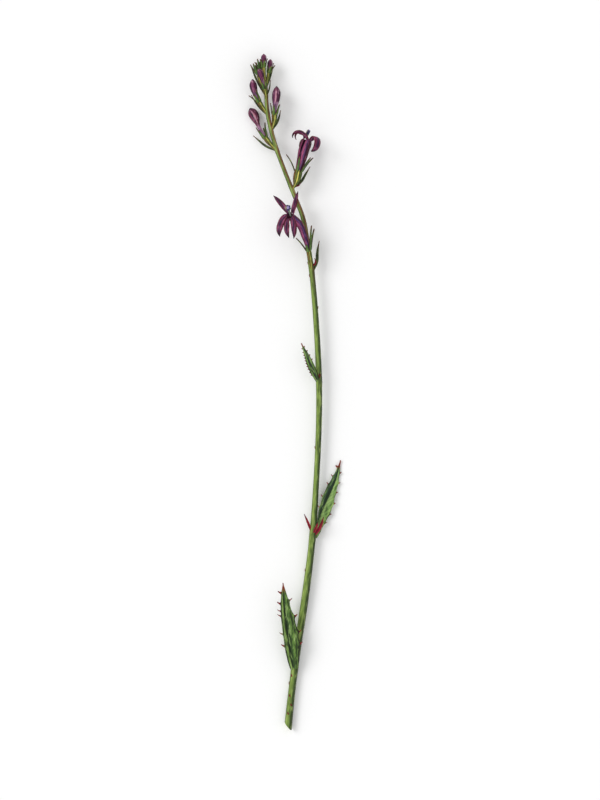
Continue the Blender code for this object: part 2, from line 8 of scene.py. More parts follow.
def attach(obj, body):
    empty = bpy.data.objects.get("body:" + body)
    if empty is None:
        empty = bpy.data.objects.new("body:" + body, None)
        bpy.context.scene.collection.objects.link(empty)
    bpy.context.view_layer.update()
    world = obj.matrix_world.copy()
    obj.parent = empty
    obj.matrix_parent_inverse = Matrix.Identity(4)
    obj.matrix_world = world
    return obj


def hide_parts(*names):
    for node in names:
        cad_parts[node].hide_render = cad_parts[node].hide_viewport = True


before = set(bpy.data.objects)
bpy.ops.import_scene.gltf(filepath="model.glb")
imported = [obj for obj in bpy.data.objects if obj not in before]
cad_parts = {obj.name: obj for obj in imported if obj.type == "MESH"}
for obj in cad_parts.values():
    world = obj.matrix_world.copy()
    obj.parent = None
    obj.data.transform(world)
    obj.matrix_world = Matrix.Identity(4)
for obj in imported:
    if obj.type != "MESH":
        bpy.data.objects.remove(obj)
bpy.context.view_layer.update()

# The stem lies along Y, cut end at -Y, and every route below is in millimetres.
# Each organ is made straight along X, left side at +Y and top at +Z, and is then bent along its route.
mm = 0.001


# Selecting and applying

def pick(piece):
    for thing in list(bpy.context.selected_objects):
        thing.select_set(False)
    piece.select_set(True)
    bpy.context.view_layer.objects.active = piece


def leaveEdit():
    bpy.ops.object.mode_set(mode="OBJECT")


def selectAll(wanted=True):
    bpy.ops.mesh.select_all(action="SELECT" if wanted else "DESELECT")


def faceOutwards():
    selectAll()
    bpy.ops.mesh.normals_make_consistent(inside=False)


def applyModifier(piece, kind, **settings):
    pick(piece)
    added = piece.modifiers.new(kind.lower(), kind)
    for name, value in settings.items():
        setattr(added, name, value)
    bpy.ops.object.modifier_apply(modifier=added.name)


def joinPieces(pieces, name):
    pick(pieces[0])
    for piece in pieces:
        piece.select_set(True)
    bpy.ops.object.join()
    pieces[0].name = name
    return pieces[0]


def readOff(stations, at):
    # a smooth value between stations, each a place and its value
    k = 0
    while k < len(stations) - 2 and at > stations[k + 1][0]:
        k += 1
    before, start = stations[max(k - 1, 0)], stations[k]
    end, after = stations[k + 1], stations[min(k + 2, len(stations) - 1)]
    span = end[0] - start[0]
    t = (at - start[0]) / span
    slopeIn = (end[1] - before[1]) / (end[0] - before[0]) * span
    slopeOut = (after[1] - start[1]) / (after[0] - start[0]) * span
    bend = slopeIn * t * (1 - t) ** 2 - slopeOut * t**2 * (1 - t)
    return start[1] + (end[1] - start[1]) * t**2 * (3 - 2 * t) + bend


def sharesOf(count):
    # where an organ's rows lie, from 0 at its foot to 1 at its end
    return [k / count for k in range(count + 1)]


def placesAcross(columns):
    # where the points of a blade's row lie, from -1 at its right margin to 1 at its left one
    return [2 * k / columns - 1 for k in range(columns + 1)]


# Rows: a piece starts as one row of points, and grows by extruding it

def marksOf(form, *names):
    # layers of each point: its order in its row, its share along the organ, its place on the straight
    # organ, and how far it is towards a tip or a margin
    layers = form.verts.layers
    kinds = {"order": layers.int, "flow": layers.float_vector}
    return [kinds.get(name, layers.float)[name] for name in names]


def growRows(piece, rows, extrudeFirst=False):
    # a row is its share of the length, its points' places, and their places on the straight organ
    for number, (along, places, flows) in enumerate(rows):
        if number > 0 or extrudeFirst:
            bpy.ops.mesh.extrude_edges_indiv()
        form = bmesh.from_edit_mesh(piece.data)
        order, share, flow = marksOf(form, "order", "along", "flow")
        for point in form.verts:
            if point.select:
                point.co = places[point[order]]
                point[flow] = flows[point[order]] / mm
                point[share] = along
        bmesh.update_edit_mesh(piece.data)


def growPiece(name, rows, closed):
    count = len(rows[0][1])
    bpy.ops.mesh.primitive_circle_add(vertices=count, radius=mm)
    piece = bpy.context.object
    piece.name = name
    pick(piece)
    bpy.ops.object.mode_set(mode="EDIT")
    bpy.ops.mesh.select_mode(type="VERT")
    selectAll(False)
    form = bmesh.from_edit_mesh(piece.data)
    form.verts.layers.int.new("order")
    form.verts.layers.float.new("along")
    form.verts.layers.float.new("tip")
    form.verts.layers.float_vector.new("flow")
    order = form.verts.layers.int["order"]
    form.verts.ensure_lookup_table()
    for k, point in enumerate(form.verts):
        point[order] = k
    if not closed:  # the circle is opened between its last point and its first
        form.verts[0].select_set(True)
        form.verts[count - 1].select_set(True)
        form.select_flush(True)
        bmesh.update_edit_mesh(piece.data)
        bpy.ops.mesh.delete(type="EDGE")
    selectAll()
    growRows(piece, rows)
    return piece


def ring(x, radius, sides, turn=0.0, ridges=0, depth=0.0):
    # points round X, with ridges that start at the angle "turn"
    places = []
    for k in range(sides):
        angle = 2 * math.pi * (k + 0.5) / sides
        reach = radius * (1 - depth * (1 - math.cos(ridges * angle)) / 2)
        places.append(Vector((x, reach * math.cos(turn + angle), reach * math.sin(turn + angle))))
    return places


def closeEnds():
    # the last row is drawn together into one point, and the first one is filled
    bpy.ops.mesh.extrude_edges_indiv()
    bpy.ops.mesh.merge(type="CENTER")
    selectAll()
    bpy.ops.mesh.fill_holes(sides=0)
    faceOutwards()
    leaveEdit()


def faceUp(piece):
    # the open sheet's faces all look along +Z, or away from X where it goes round it
    faceOutwards()
    form = bmesh.from_edit_mesh(piece.data)
    form.faces.ensure_lookup_table()
    face = form.faces[0]
    middle = face.calc_center_median()
    out = Vector((0, middle.y, middle.z)) if piece.name.endswith("tube") else Vector((0, 0, 1))
    if face.normal.dot(out) < 0:
        bpy.ops.mesh.flip_normals()
    leaveEdit()


def thicken(piece, thickness, thinShare=1.0, tipShare=1.0):
    # the margin is thinner than the middle, but not its teeth, and the tip is thinner than the foot
    group = piece.vertex_groups.new(name="thick")
    order, tip, along = ([value.value for value in piece.data.attributes[name].data]
                         for name in ("order", "tip", "along"))
    last, start, end = max(order), min(along), max(along)
    for k, share in enumerate(along):
        edge = abs(2 * order[k] / last - 1)
        weight = max(1 - (1 - thinShare) * edge**2, min(1, tip[k]))
        run = (share - start) / (end - start)
        group.add([k], weight * (1 + (tipShare - 1) * run), "REPLACE")
    applyModifier(piece, "SOLIDIFY", thickness=thickness * mm, offset=0, material_offset=1,
                  use_even_offset=True, vertex_group="thick")


def smooth(piece):
    applyModifier(piece, "SUBSURF", levels=1, render_levels=1)
    pick(piece)
    bpy.ops.object.shade_smooth()


# Guide lines

def guideLine(places, rolls=(), straight=False):
    data = bpy.data.curves.new("guide", "CURVE")
    data.dimensions = "3D"
    data.twist_mode = "Z_UP"
    data.resolution_u = 24
    spline = data.splines.new("POLY" if straight else "BEZIER")
    if straight:
        spline.points.add(len(places) - 1)
        for knot, place in zip(spline.points, places):
            knot.co = (*place, 1)
    else:
        spline.bezier_points.add(len(places) - 1)
        for knot, place in zip(spline.bezier_points, places):
            knot.co = place
            knot.handle_left_type = knot.handle_right_type = "AUTO"
        for knot, roll in zip(spline.bezier_points, rolls):
            knot.tilt = math.radians(roll)
    line = bpy.data.objects.new("guide", data)
    bpy.context.scene.collection.objects.link(line)
    bpy.context.view_layer.update()
    return line, spline.calc_length()


def bendAlong(piece, line):
    applyModifier(piece, "CURVE", object=line, deform_axis="POS_X")
    bpy.data.objects.remove(line)


def inMetres(points):
    return [Vector(point) * mm for point in points]


def settle(piece, node):
    # the piece rides with the solids and stands for one of them
    for left in ("order", "mouthTurn"):
        if left in piece.data.attributes:
            piece.data.attributes.remove(piece.data.attributes[left])
    piece.vertex_groups.clear()
    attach(piece, "root")
    if node:
        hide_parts(node)


def bendAndSettle(piece, line, node):
    smooth(piece)
    bendAlong(piece, line)
    settle(piece, node)


# Nodes for the finishes. A colour is another node's or three numbers from 0 to 255, as on a screen

def ink(red, green, blue):
    # made linear for the shader
    shares = [value / 255 for value in (red, green, blue)]
    return (*[v / 12.92 if v < 0.04 else ((v + 0.055) / 1.055) ** 2.4 for v in shares], 1)


def put(tree, kind, values, **settings):
    made = tree.nodes.new("ShaderNode" + kind)
    for name, value in settings.items():
        setattr(made, name, value)
    for name, value in values.items():
        if isinstance(value, bpy.types.NodeSocket):
            tree.links.new(value, made.inputs[name])
        else:
            made.inputs[name].default_value = value
    return made


def maths(tree, operation, first, second=0.0):
    return put(tree, "Math", {0: first, 1: second}, operation=operation).outputs[0]


def attribute(tree, name, kind="Fac"):
    return put(tree, "Attribute", {}, attribute_name=name).outputs[kind]


def partsOf(tree, place):
    return put(tree, "SeparateXYZ", {0: place}).outputs


def mix(tree, share, first, second, most=1.0):
    # share 0 shows the first colour and 1 the second, which covers no more than "most"
    if most < 1:
        share = maths(tree, "MULTIPLY", share, most)
    first, second = (ink(*shade) if isinstance(shade, tuple) else shade for shade in (first, second))
    return put(tree, "Mix", {0: share, 6: first, 7: second}, data_type="RGBA").outputs[2]


def rise(tree, value, low, high):
    # 0 at low, 1 at high, and smooth between them
    limits = {"Value": value, "From Min": low, "From Max": high}
    return put(tree, "MapRange", limits, interpolation_type="SMOOTHSTEP").outputs[0]


def speckle(tree, place, scale, stretch=1.0, detail=3.0):
    # noise, drawn out along the organ by "stretch"
    drawn = put(tree, "Mapping", {"Vector": place, "Scale": (1 / stretch, 1, 1)}).outputs[0]
    return put(tree, "TexNoise", {"Vector": drawn, "Scale": scale, "Detail": detail}).outputs[0]


def bands(tree, value, stops):
    # colours that blend between stops, each a place from -1 to 1 and its colour
    share = maths(tree, "ADD", maths(tree, "MULTIPLY", value, 0.5), 0.5)
    ramp = put(tree, "ValToRGB", {0: share})
    points = ramp.color_ramp.elements
    for point, (place, *shade) in ((points[0], stops[0]), (points[1], stops[-1])):
        point.position = (place + 1) / 2
        point.color = ink(*shade)
    for place, *shade in stops[1:-1]:
        points.new((place + 1) / 2).color = ink(*shade)
    return ramp.outputs[0]


# Looks: "grain", "patches" and "flecks" are noise, each its scale, how far it is drawn out along the organ,
# and its detail. "strokes" is how strongly the strokes show, "shake" is how far the grain moves the bands,
# and "relief" is the bump's strength and its depth in millimetres. Every other pair of numbers is where
# something begins to show and where it is full
strokeForm = {"dark": (0.49, 0.36), "light": (0.53, 0.66)}
skinLook = {"roughness": 0.6, "shine": 0.16}  # of every look that has no roughness of its own


def stroked(tree, colour, grain, look, most="strokes"):
    # fine strokes along the organ, darker and lighter than the colour below them
    for kind in ("dark", "light"):
        colour = mix(tree, rise(tree, grain, *strokeForm[kind]), colour, look[kind], look[most])
    return colour


def startFinish(name, look):
    # "flow" is each point's place on its straight organ, in millimetres
    made = bpy.data.materials.new(name)
    made.use_nodes = True
    shader = made.node_tree.nodes["Principled BSDF"]
    shader.inputs["Roughness"].default_value = look.get("roughness", skinLook["roughness"])
    shader.inputs["Specular IOR Level"].default_value = skinLook["shine"]
    return made, made.node_tree, attribute(made.node_tree, "flow", "Vector")


def endFinish(made, look, colour, height):
    tree = made.node_tree
    shader = tree.nodes["Principled BSDF"]
    strength, depth = look["relief"]
    bump = put(tree, "Bump", {"Height": height, "Strength": strength, "Distance": depth * mm})
    tree.links.new(colour, shader.inputs["Base Color"])
    tree.links.new(bump.outputs[0], shader.inputs["Normal"])
    return made


def shaken(tree, value, grain, look):
    moved = maths(tree, "MULTIPLY", maths(tree, "SUBTRACT", grain, 0.5), look["shake"])
    return maths(tree, "ADD", value, moved)


def bandsRound(tree, flow, grain, look, stops):
    # from -1 at a round organ's right edge, over 0 on top, to 1 at its left edge
    return bands(tree, shaken(tree, sideOf(tree, flow), grain, look), stops)


def sideOf(tree, flow):
    parts = partsOf(tree, flow)
    return maths(tree, "COSINE", maths(tree, "ARCTAN2", parts["Z"], parts["Y"]))


# Stem finish: painted light on the left and painted shade on the right and at both edges, with the stem's own
# brown flush among the flowers
stemLook = {
    # bands round the stem below the flowers and among them: painted light on the left, painted shade on the
    # right and at the edges
    "below": [(-1, 50, 62, 32), (-0.5, 60, 76, 38), (-0.2, 92, 114, 56), (0.05, 118, 142, 68),
              (0.5, 128, 152, 72), (0.85, 110, 132, 62), (1, 84, 102, 50)],
    "among": [(-1, 84, 52, 36), (-0.6, 118, 76, 48), (-0.34, 140, 112, 68), (-0.16, 78, 58, 36),
              (0.04, 122, 138, 72), (0.4, 122, 144, 70), (0.75, 74, 92, 44), (1, 60, 74, 36)],
    "light": (164, 184, 104), "dark": (46, 58, 30), "fleck": (74, 44, 30),
    "flush": (148, 182),  # millimetres along the stem where the brown side comes in
    "grain": (1.5, 6, 4), "strokes": 0.55, "shake": 0.5, "relief": (0.5, 0.06),
    "patches": (0.35, 3, 2), "patchEdge": (0.55, 0.8), "patchShare": 0.3,
    "flecks": (3.4, 1.6, 1), "fleckEdge": (0.7, 0.76), "fleckShare": 0.6,
}
pithLook = {"light": (226, 224, 178), "dark": (176, 186, 128), "grain": (5.0, 1, 3), "relief": (0.6, 0.08),
            "roughness": 0.75}


def makeStemFinish():
    made, tree, flow = startFinish("stemSkin", stemLook)
    grain = speckle(tree, flow, *stemLook["grain"])
    # painted light and painted shade, fixed to the stem's sides
    below, among = (bandsRound(tree, flow, grain, stemLook, stemLook[part]) for part in ("below", "among"))
    flush = rise(tree, partsOf(tree, flow)["X"], *stemLook["flush"])
    colour = stroked(tree, mix(tree, flush, below, among), grain, stemLook)
    patches = rise(tree, speckle(tree, flow, *stemLook["patches"]), *stemLook["patchEdge"])
    colour = mix(tree, patches, colour, stemLook["dark"], stemLook["patchShare"])
    flecks = rise(tree, speckle(tree, flow, *stemLook["flecks"]), *stemLook["fleckEdge"])
    colour = mix(tree, flecks, colour, stemLook["fleck"], stemLook["fleckShare"])
    return endFinish(made, stemLook, colour, maths(tree, "ADD", grain, flecks))


def makePithFinish():
    made, tree, flow = startFinish("stemPith", pithLook)
    grain = speckle(tree, flow, *pithLook["grain"])
    return endFinish(made, pithLook, mix(tree, grain, pithLook["dark"], pithLook["light"]), grain)


# Leaf finishes: lengthwise bands from the right margin to the left one, painted light on the folded half that
# turns to the light and painted shade on the half that turns away, and red tips on the teeth
leafLook = {
    # each leaf's bands: painted light and painted shade on its folded halves, darker at its margins and its
    # crease
    "lower_leaf": [(-1, 34, 24, 18), (-0.88, 46, 52, 30), (-0.78, 104, 138, 66), (-0.66, 50, 68, 38),
                   (-0.46, 108, 144, 66), (-0.3, 66, 94, 46), (-0.04, 34, 48, 34),
                   (0.2, 48, 64, 38), (0.4, 134, 164, 86), (0.58, 112, 144, 70),
                   (0.72, 46, 58, 32), (1, 30, 34, 22)],
    "middle_leaf": [(-1, 40, 48, 28), (-0.84, 126, 158, 84), (-0.5, 112, 150, 80), (-0.2, 144, 176, 104),
                    (-0.06, 124, 156, 88), (0.04, 36, 50, 42), (0.4, 46, 66, 52), (0.66, 66, 94, 62),
                    (0.8, 96, 128, 72), (0.92, 44, 56, 34), (1, 36, 44, 28)],
    "upper_leaf": [(-1, 48, 30, 20), (-0.8, 50, 54, 30), (-0.6, 104, 140, 66), (-0.3, 54, 66, 58),
                   (-0.04, 44, 58, 50), (0.08, 84, 52, 36), (0.3, 64, 88, 48), (0.52, 128, 172, 88),
                   (0.64, 92, 124, 60), (0.74, 50, 50, 28), (1, 62, 32, 22)],
    "dark": (34, 46, 28), "light": (156, 186, 110), "tooth": (128, 26, 30), "point": (64, 24, 24),
    "teeth": (0.02, 0.25), "points": (0.7, 1.0), "pointShare": 0.7, "end": (0.87, 0.95), "endShare": 0.85,
    "grain": (1.5, 5, 4), "strokes": 0.7, "shake": 0.3, "relief": (0.45, 0.1),
    "patches": (0.5, 2, 3), "patchEdge": (0.5, 0.75), "patchShare": 0.3,
    "veinSlope": 1.7, "veinScale": 0.2, "veinEdge": (0.84, 1.0), "veinShare": 0.35,
}
underLook = {**leafLook, "plain": (120, 142, 90), "strokes": 0.2, "relief": (0.6, 0.1)}


def makeLeafFinish(name, look, node=None):
    # "flow" is across the leaf from its crease in y, and from -1 to 1 across it in z
    made, tree, flow = startFinish(name, look)
    grain = speckle(tree, flow, *look["grain"])
    x, y, z = partsOf(tree, flow)
    bow = maths(tree, "MULTIPLY", maths(tree, "ABSOLUTE", y), look["veinSlope"])
    bow = put(tree, "CombineXYZ", {0: maths(tree, "SUBTRACT", x, bow)}).outputs[0]
    veins = put(tree, "TexWave", {"Vector": bow, "Scale": look["veinScale"], "Distortion": 0.6,
                                  "Detail": 1.0, "Detail Scale": 0.6}).outputs["Fac"]
    veins = rise(tree, veins, *look["veinEdge"])
    patches = rise(tree, speckle(tree, flow, *look["patches"]), *look["patchEdge"])
    tip, along = attribute(tree, "tip"), attribute(tree, "along")
    # painted light and painted shade across the leaf, from its crease to its margins
    colour = bands(tree, shaken(tree, z, grain, look), look[node]) if node else look["plain"]
    colour = stroked(tree, colour, grain, look)
    colour = mix(tree, patches, colour, look["dark"], look["patchShare"])
    colour = mix(tree, veins, colour, look["dark"], look["veinShare"])
    colour = mix(tree, rise(tree, tip, *look["teeth"]), colour, look["tooth"])
    colour = mix(tree, rise(tree, tip, *look["points"]), colour, look["point"], look["pointShare"])
    colour = mix(tree, rise(tree, along, *look["end"]), colour, look["tooth"], look["endShare"])
    return endFinish(made, look, colour, maths(tree, "SUBTRACT", maths(tree, "MULTIPLY", grain, 0.5), veins))


# Finish of a narrow organ with a coloured tip: bracts, red leaflets, and sepals with the ribbed ovary
# below them, where "along" runs from 0 to 1 on the ovary and from 1 to 2 on a sepal
narrowLook = {"grain": (1.8, 4, 4), "strokes": 0.5, "relief": (0.5, 0.06),
              "rib": (0.2, 0.02), "ribShare": 0.6, "blend": (0.32, 0.7),
              "tipFrom": 0.8, "tipReach": 0.3, "tipShake": 0.2}
bractLook = {**narrowLook, "light": (92, 100, 56), "middle": (48, 64, 42), "dark": (30, 34, 24),
             "tip": (100, 48, 34)}
redLook = {**narrowLook, "light": (150, 36, 52), "middle": (112, 20, 36), "dark": (60, 12, 22),
           "tip": (70, 26, 30), "tipFrom": 0.86}
axilLook = {**narrowLook, "light": (112, 44, 34), "middle": (84, 28, 24), "dark": (44, 16, 16),
            "tip": (48, 22, 20)}
calyxLook = {
    **narrowLook, "light": (150, 164, 76), "dark": (38, 48, 26), "tip": (92, 54, 38), "tipFrom": 1.84,
    "sepal": (76, 108, 54), "edge": (64, 54, 32), "ovaryStrokes": 0.55, "shake": 0.34,
    "sepals": (0.98, 1.04), "margin": (0.45, 0.95),
    # round the ovary: painted shade at both edges, yellow painted highlights near its top, and brown on the
    # left
    "ovary": [(-1, 36, 42, 24), (-0.66, 92, 108, 46), (-0.42, 46, 56, 28), (-0.22, 196, 192, 92),
              (-0.02, 216, 206, 104), (0.12, 62, 72, 34), (0.3, 44, 54, 28), (0.46, 150, 152, 68),
              (0.6, 60, 62, 30), (0.78, 134, 90, 46), (1, 74, 44, 28)],
}


def makeNarrowFinish(name, look):
    made, tree, flow = startFinish(name, look)
    grain = speckle(tree, flow, *look["grain"])
    along = attribute(tree, "along")
    if "ovary" in look:
        # painted shade and painted highlights round the ovary
        ovary = bandsRound(tree, flow, grain, look, look["ovary"])
        ovary = stroked(tree, ovary, grain, look, "ovaryStrokes")
        margin = rise(tree, attribute(tree, "tip"), *look["margin"])
        sepal = stroked(tree, mix(tree, margin, look["sepal"], look["edge"]), grain, look)
        colour = mix(tree, rise(tree, along, *look["sepals"]), ovary, sepal)
    else:
        rib = rise(tree, maths(tree, "ABSOLUTE", partsOf(tree, flow)["Y"]), *look["rib"])
        colour = mix(tree, rise(tree, grain, *look["blend"]), look["middle"], look["light"])
        colour = stroked(tree, mix(tree, rib, colour, look["dark"], look["ribShare"]), grain, look)
    uneven = maths(tree, "ADD", along, maths(tree, "MULTIPLY", grain, look["tipShake"]))
    end = rise(tree, uneven, look["tipFrom"], look["tipFrom"] + look["tipReach"])
    return endFinish(made, look, mix(tree, end, colour, look["tip"]), grain)


# Petal finishes: bands round each tube from its right edge to its left one, with painted shade at its edges
# and painted highlights along it, and from each lobe's middle, in painted shade, to its reddish margin
petalLook = {
    # painted shade at both edges of each tube, and painted highlights in pink and violet along it
    "lower_flower": [(-1, 52, 20, 36), (-0.8, 104, 42, 70), (-0.6, 52, 26, 54), (-0.4, 84, 58, 112),
                     (-0.2, 110, 80, 136), (0.0, 122, 52, 98), (0.3, 192, 106, 152),
                     (0.5, 164, 78, 126), (0.75, 112, 40, 72), (1, 78, 22, 38)],
    "upper_flower": [(-1, 50, 18, 30), (-0.75, 76, 26, 42), (-0.5, 62, 26, 54), (-0.34, 84, 40, 78),
                     (-0.18, 122, 92, 142), (-0.06, 78, 34, 68), (0.12, 176, 88, 126),
                     (0.26, 104, 42, 80), (0.38, 46, 22, 46), (0.56, 40, 20, 40), (0.7, 126, 50, 90),
                     (0.88, 106, 38, 70), (1, 60, 20, 36)],
    # each lobe: painted shade along its folded middle, out to its own reddish margin
    "lobe": [(0, 46, 28, 60), (0.22, 68, 32, 64), (0.5, 116, 46, 78), (0.72, 88, 32, 54),
             (0.9, 68, 20, 32), (1, 122, 34, 42)],
    "dark": (36, 16, 26), "light": (164, 88, 122), "throatShade": (70, 30, 44),
    "grain": (1.6, 5, 4), "strokes": 0.62, "shake": 0.5, "relief": (0.5, 0.07),
    "throatShare": 0.7, "lobes": (0.97, 1.1), "lobeTips": (1.7, 1.97), "tipShare": 0.85,
}


def makePetalFinish(name, flower, inside):
    # "along" runs from 0 to 1 on the tube and from 1 to 2 on its lobes
    made, tree, flow = startFinish(name, petalLook)
    grain = speckle(tree, flow, *petalLook["grain"])
    along = attribute(tree, "along")
    tube = bandsRound(tree, flow, grain, petalLook, petalLook[flower])
    if inside:
        # the inside of the tube is darkened with painted shade
        tube = mix(tree, petalLook["throatShare"], tube, petalLook["throatShade"])
    lobe = bands(tree, shaken(tree, attribute(tree, "tip"), grain, petalLook), petalLook["lobe"])
    colour = mix(tree, rise(tree, along, *petalLook["lobes"]), tube, lobe)
    colour = stroked(tree, colour, grain, petalLook)
    tips = rise(tree, along, *petalLook["lobeTips"])
    colour = mix(tree, tips, colour, petalLook["dark"], petalLook["tipShare"])
    return endFinish(made, petalLook, colour, grain)


# Bud finishes: bands round the closed petals, with painted shade at their edges and painted highlights on
# top, dark tips and pale necks
budLook = {
    # painted shade at both edges and soft painted highlights on top
    "closed": [(-1, 38, 18, 30), (-0.7, 68, 30, 54), (-0.35, 104, 46, 74), (-0.1, 126, 60, 94),
               (0.1, 98, 44, 78), (0.32, 134, 66, 102), (0.6, 86, 40, 74), (1, 42, 20, 38)],
    # one narrow painted highlight along the top
    "highlighted": [(-1, 40, 18, 32), (-0.7, 68, 32, 56), (-0.35, 98, 44, 74), (-0.06, 84, 38, 66),
                (0.06, 186, 126, 144), (0.2, 204, 150, 164), (0.32, 92, 42, 76), (0.6, 110, 52, 88),
                (1, 46, 22, 40)],
    # a painted highlight beside a dark slit painted as shade
    "opening": [(-1, 42, 18, 30), (-0.7, 76, 30, 50), (-0.36, 108, 46, 72), (-0.12, 184, 118, 138),
                (0.08, 206, 154, 168), (0.17, 52, 30, 48), (0.42, 44, 28, 44), (0.55, 150, 74, 108),
                (0.8, 104, 42, 70), (1, 54, 22, 36)],
    "dark": (50, 26, 42), "light": (204, 160, 182), "neck": (138, 108, 156),
    "plain": [(84, 38, 60), (124, 62, 90)],
    "grain": (1.8, 4, 4), "strokes": 0.55, "shake": 0.5, "relief": (0.4, 0.06), "roughness": 0.55,
    "blend": (0.35, 0.7), "plainEnd": (0.78, 0.92), "neckEnd": (0.5, 0.3), "neckShare": 0.9,
    "neckEdge": (0.6, 1.0), "stripes": 9, "stripeEdge": (-0.4, 0.6), "tips": (0.9, 0.99),
}


def makeBudFinish(kind):
    made, tree, flow = startFinish(kind + "Bud", budLook)
    grain = speckle(tree, flow, *budLook["grain"])
    along, side = attribute(tree, "along"), sideOf(tree, flow)
    plain = mix(tree, rise(tree, grain, *budLook["blend"]), *budLook["plain"])
    # painted shade at the petals' edges and painted highlights on top
    colour = bandsRound(tree, flow, grain, budLook, budLook[kind])
    colour = mix(tree, rise(tree, along, *budLook["plainEnd"]), colour, plain)
    stripes = maths(tree, "SINE", maths(tree, "MULTIPLY", side, budLook["stripes"]))
    paleStripe = mix(tree, 0.5, plain, budLook["light"])
    neck = mix(tree, rise(tree, stripes, *budLook["stripeEdge"]), budLook["neck"], paleStripe)
    neck = mix(tree, rise(tree, maths(tree, "ABSOLUTE", side), *budLook["neckEdge"]), neck, plain)
    colour = mix(tree, rise(tree, along, *budLook["neckEnd"]), colour, neck, budLook["neckShare"])
    colour = stroked(tree, colour, grain, budLook)
    colour = mix(tree, rise(tree, along, *budLook["tips"]), colour, budLook["dark"])
    return endFinish(made, budLook, colour, grain)


# Stamen finish: filament tube, anther head and hairs
antherLook = {
    "head": [(38, 36, 60), (78, 74, 118)], "left": (150, 142, 98), "filament": (128, 142, 126),
    "hair": (226, 214, 250), "grain": (4.0, 3, 3), "relief": (0.5, 0.05),
    "blend": (0.35, 0.65), "headStart": (0.86, 0.9), "hairStart": (1.02, 1.1),
    "leftEdge": (0.5, 0.9), "leftShare": 0.7,
}


def makeAntherFinish():
    made, tree, flow = startFinish("antherSkin", antherLook)
    grain = speckle(tree, flow, *antherLook["grain"])
    along = attribute(tree, "along")
    head = mix(tree, rise(tree, grain, *antherLook["blend"]), *antherLook["head"])
    left = rise(tree, sideOf(tree, flow), *antherLook["leftEdge"])
    head = mix(tree, left, head, antherLook["left"], antherLook["leftShare"])
    colour = mix(tree, rise(tree, along, *antherLook["headStart"]), antherLook["filament"], head)
    colour = mix(tree, rise(tree, along, *antherLook["hairStart"]), colour, antherLook["hair"])
    return endFinish(made, antherLook, colour, grain)


finishes = {
    "stem": makeStemFinish(), "pith": makePithFinish(), "anther": makeAntherFinish(),
    "leafUnder": makeLeafFinish("leafUnder", underLook),
    "bract": makeNarrowFinish("bractSkin", bractLook), "calyx": makeNarrowFinish("calyxSkin", calyxLook),
    "red": makeNarrowFinish("redLeaflet", redLook), "axilBud": makeNarrowFinish("axilBud", axilLook),
}
for kind in ("closed", "highlighted", "opening"):
    finishes[kind + "Bud"] = makeBudFinish(kind)
for organ in ("lower_leaf", "middle_leaf", "upper_leaf"):
    finishes[organ] = makeLeafFinish(organ + "Skin", leafLook, organ)
for organ in ("lower_flower", "upper_flower"):
    finishes[organ + "_outside"] = makePetalFinish(organ + "PetalOutside", organ, False)
    finishes[organ + "_inside"] = makePetalFinish(organ + "PetalInside", organ, True)


def give(piece, *names):
    for name in names:
        piece.data.materials.append(finishes[name])


print("finishes made")


# Stem
stemForm = {
    # across, along, height of the middle, and radius, from the cut end to the tip
    "route": [
        (-2.5, -117.9, 1.40, 1.40),
        (-1.15, -105.0, 1.50, 1.28),
        (0.8, -90.0, 1.70, 1.30),
        (3.6, -71.5, 2.05, 1.34),
        (6.0, -52.0, 2.40, 1.20),
        (7.3, -34.0, 2.70, 1.06),
        (8.3, -13.0, 3.10, 1.08),
        (8.4, 4.0, 3.40, 1.10),
        (7.5, 23.0, 3.80, 1.03),
        (5.9, 42.0, 4.20, 0.98),
        (4.5, 51.0, 4.40, 0.92),
        (2.9, 60.5, 4.60, 0.86),
        (-0.3, 69.0, 4.75, 0.80),
        (-3.9, 78.0, 4.90, 0.76),
        (-7.4, 88.0, 5.00, 0.78),
        (-9.7, 98.5, 5.05, 0.76),
        (-10.2, 108.0, 5.10, 0.58),
    ],
    "sides": 50, "rowStep": 1.0, "ribs": 5, "ribDepth": 0.12,
    "swelling": 0.07, "swellingReach": 1.6,
    "cutPlace": 0.9, "cutSlant": (1, -0.95, 0.35), "beyondCut": 0.6,
    "uneven": 0.02, "unevenGrain": (90, 900),  # per metre, along and across
    "rind": 0.16, "pithEdge": 0.3, "pithDepth": 0.06,
}


def stemRow(along):
    # middle and radius of the stem at a place along Y
    x, z, radius = (readOff([(row[1], row[c]) for row in stemForm["route"]], along) for c in (0, 2, 3))
    return Vector((x, along, z)) * mm, radius * mm


def stemHeading(along):
    return (stemRow(along + 1)[0] - stemRow(along - 1)[0]).normalized()


def onStem(form, sunk):
    # where an organ leaves the stem, a little inside its skin: "at" is how far along it in millimetres,
    # and "side" is the angle round it, from 0 on the right over 90 on top
    middle, radius = stemRow(form["at"])
    run = stemHeading(form["at"])
    right = Vector((run.y, -run.x, 0))
    turn = math.radians(form["side"])
    return middle + (right * math.cos(turn) + Vector((0, 0, math.sin(turn)))) * (radius - sunk * mm)


def routeOf(form, sunk):
    # an organ that names its place on the stem starts there
    places = inMetres(form["route"])
    return [onStem(form, sunk), *places] if "at" in form else places


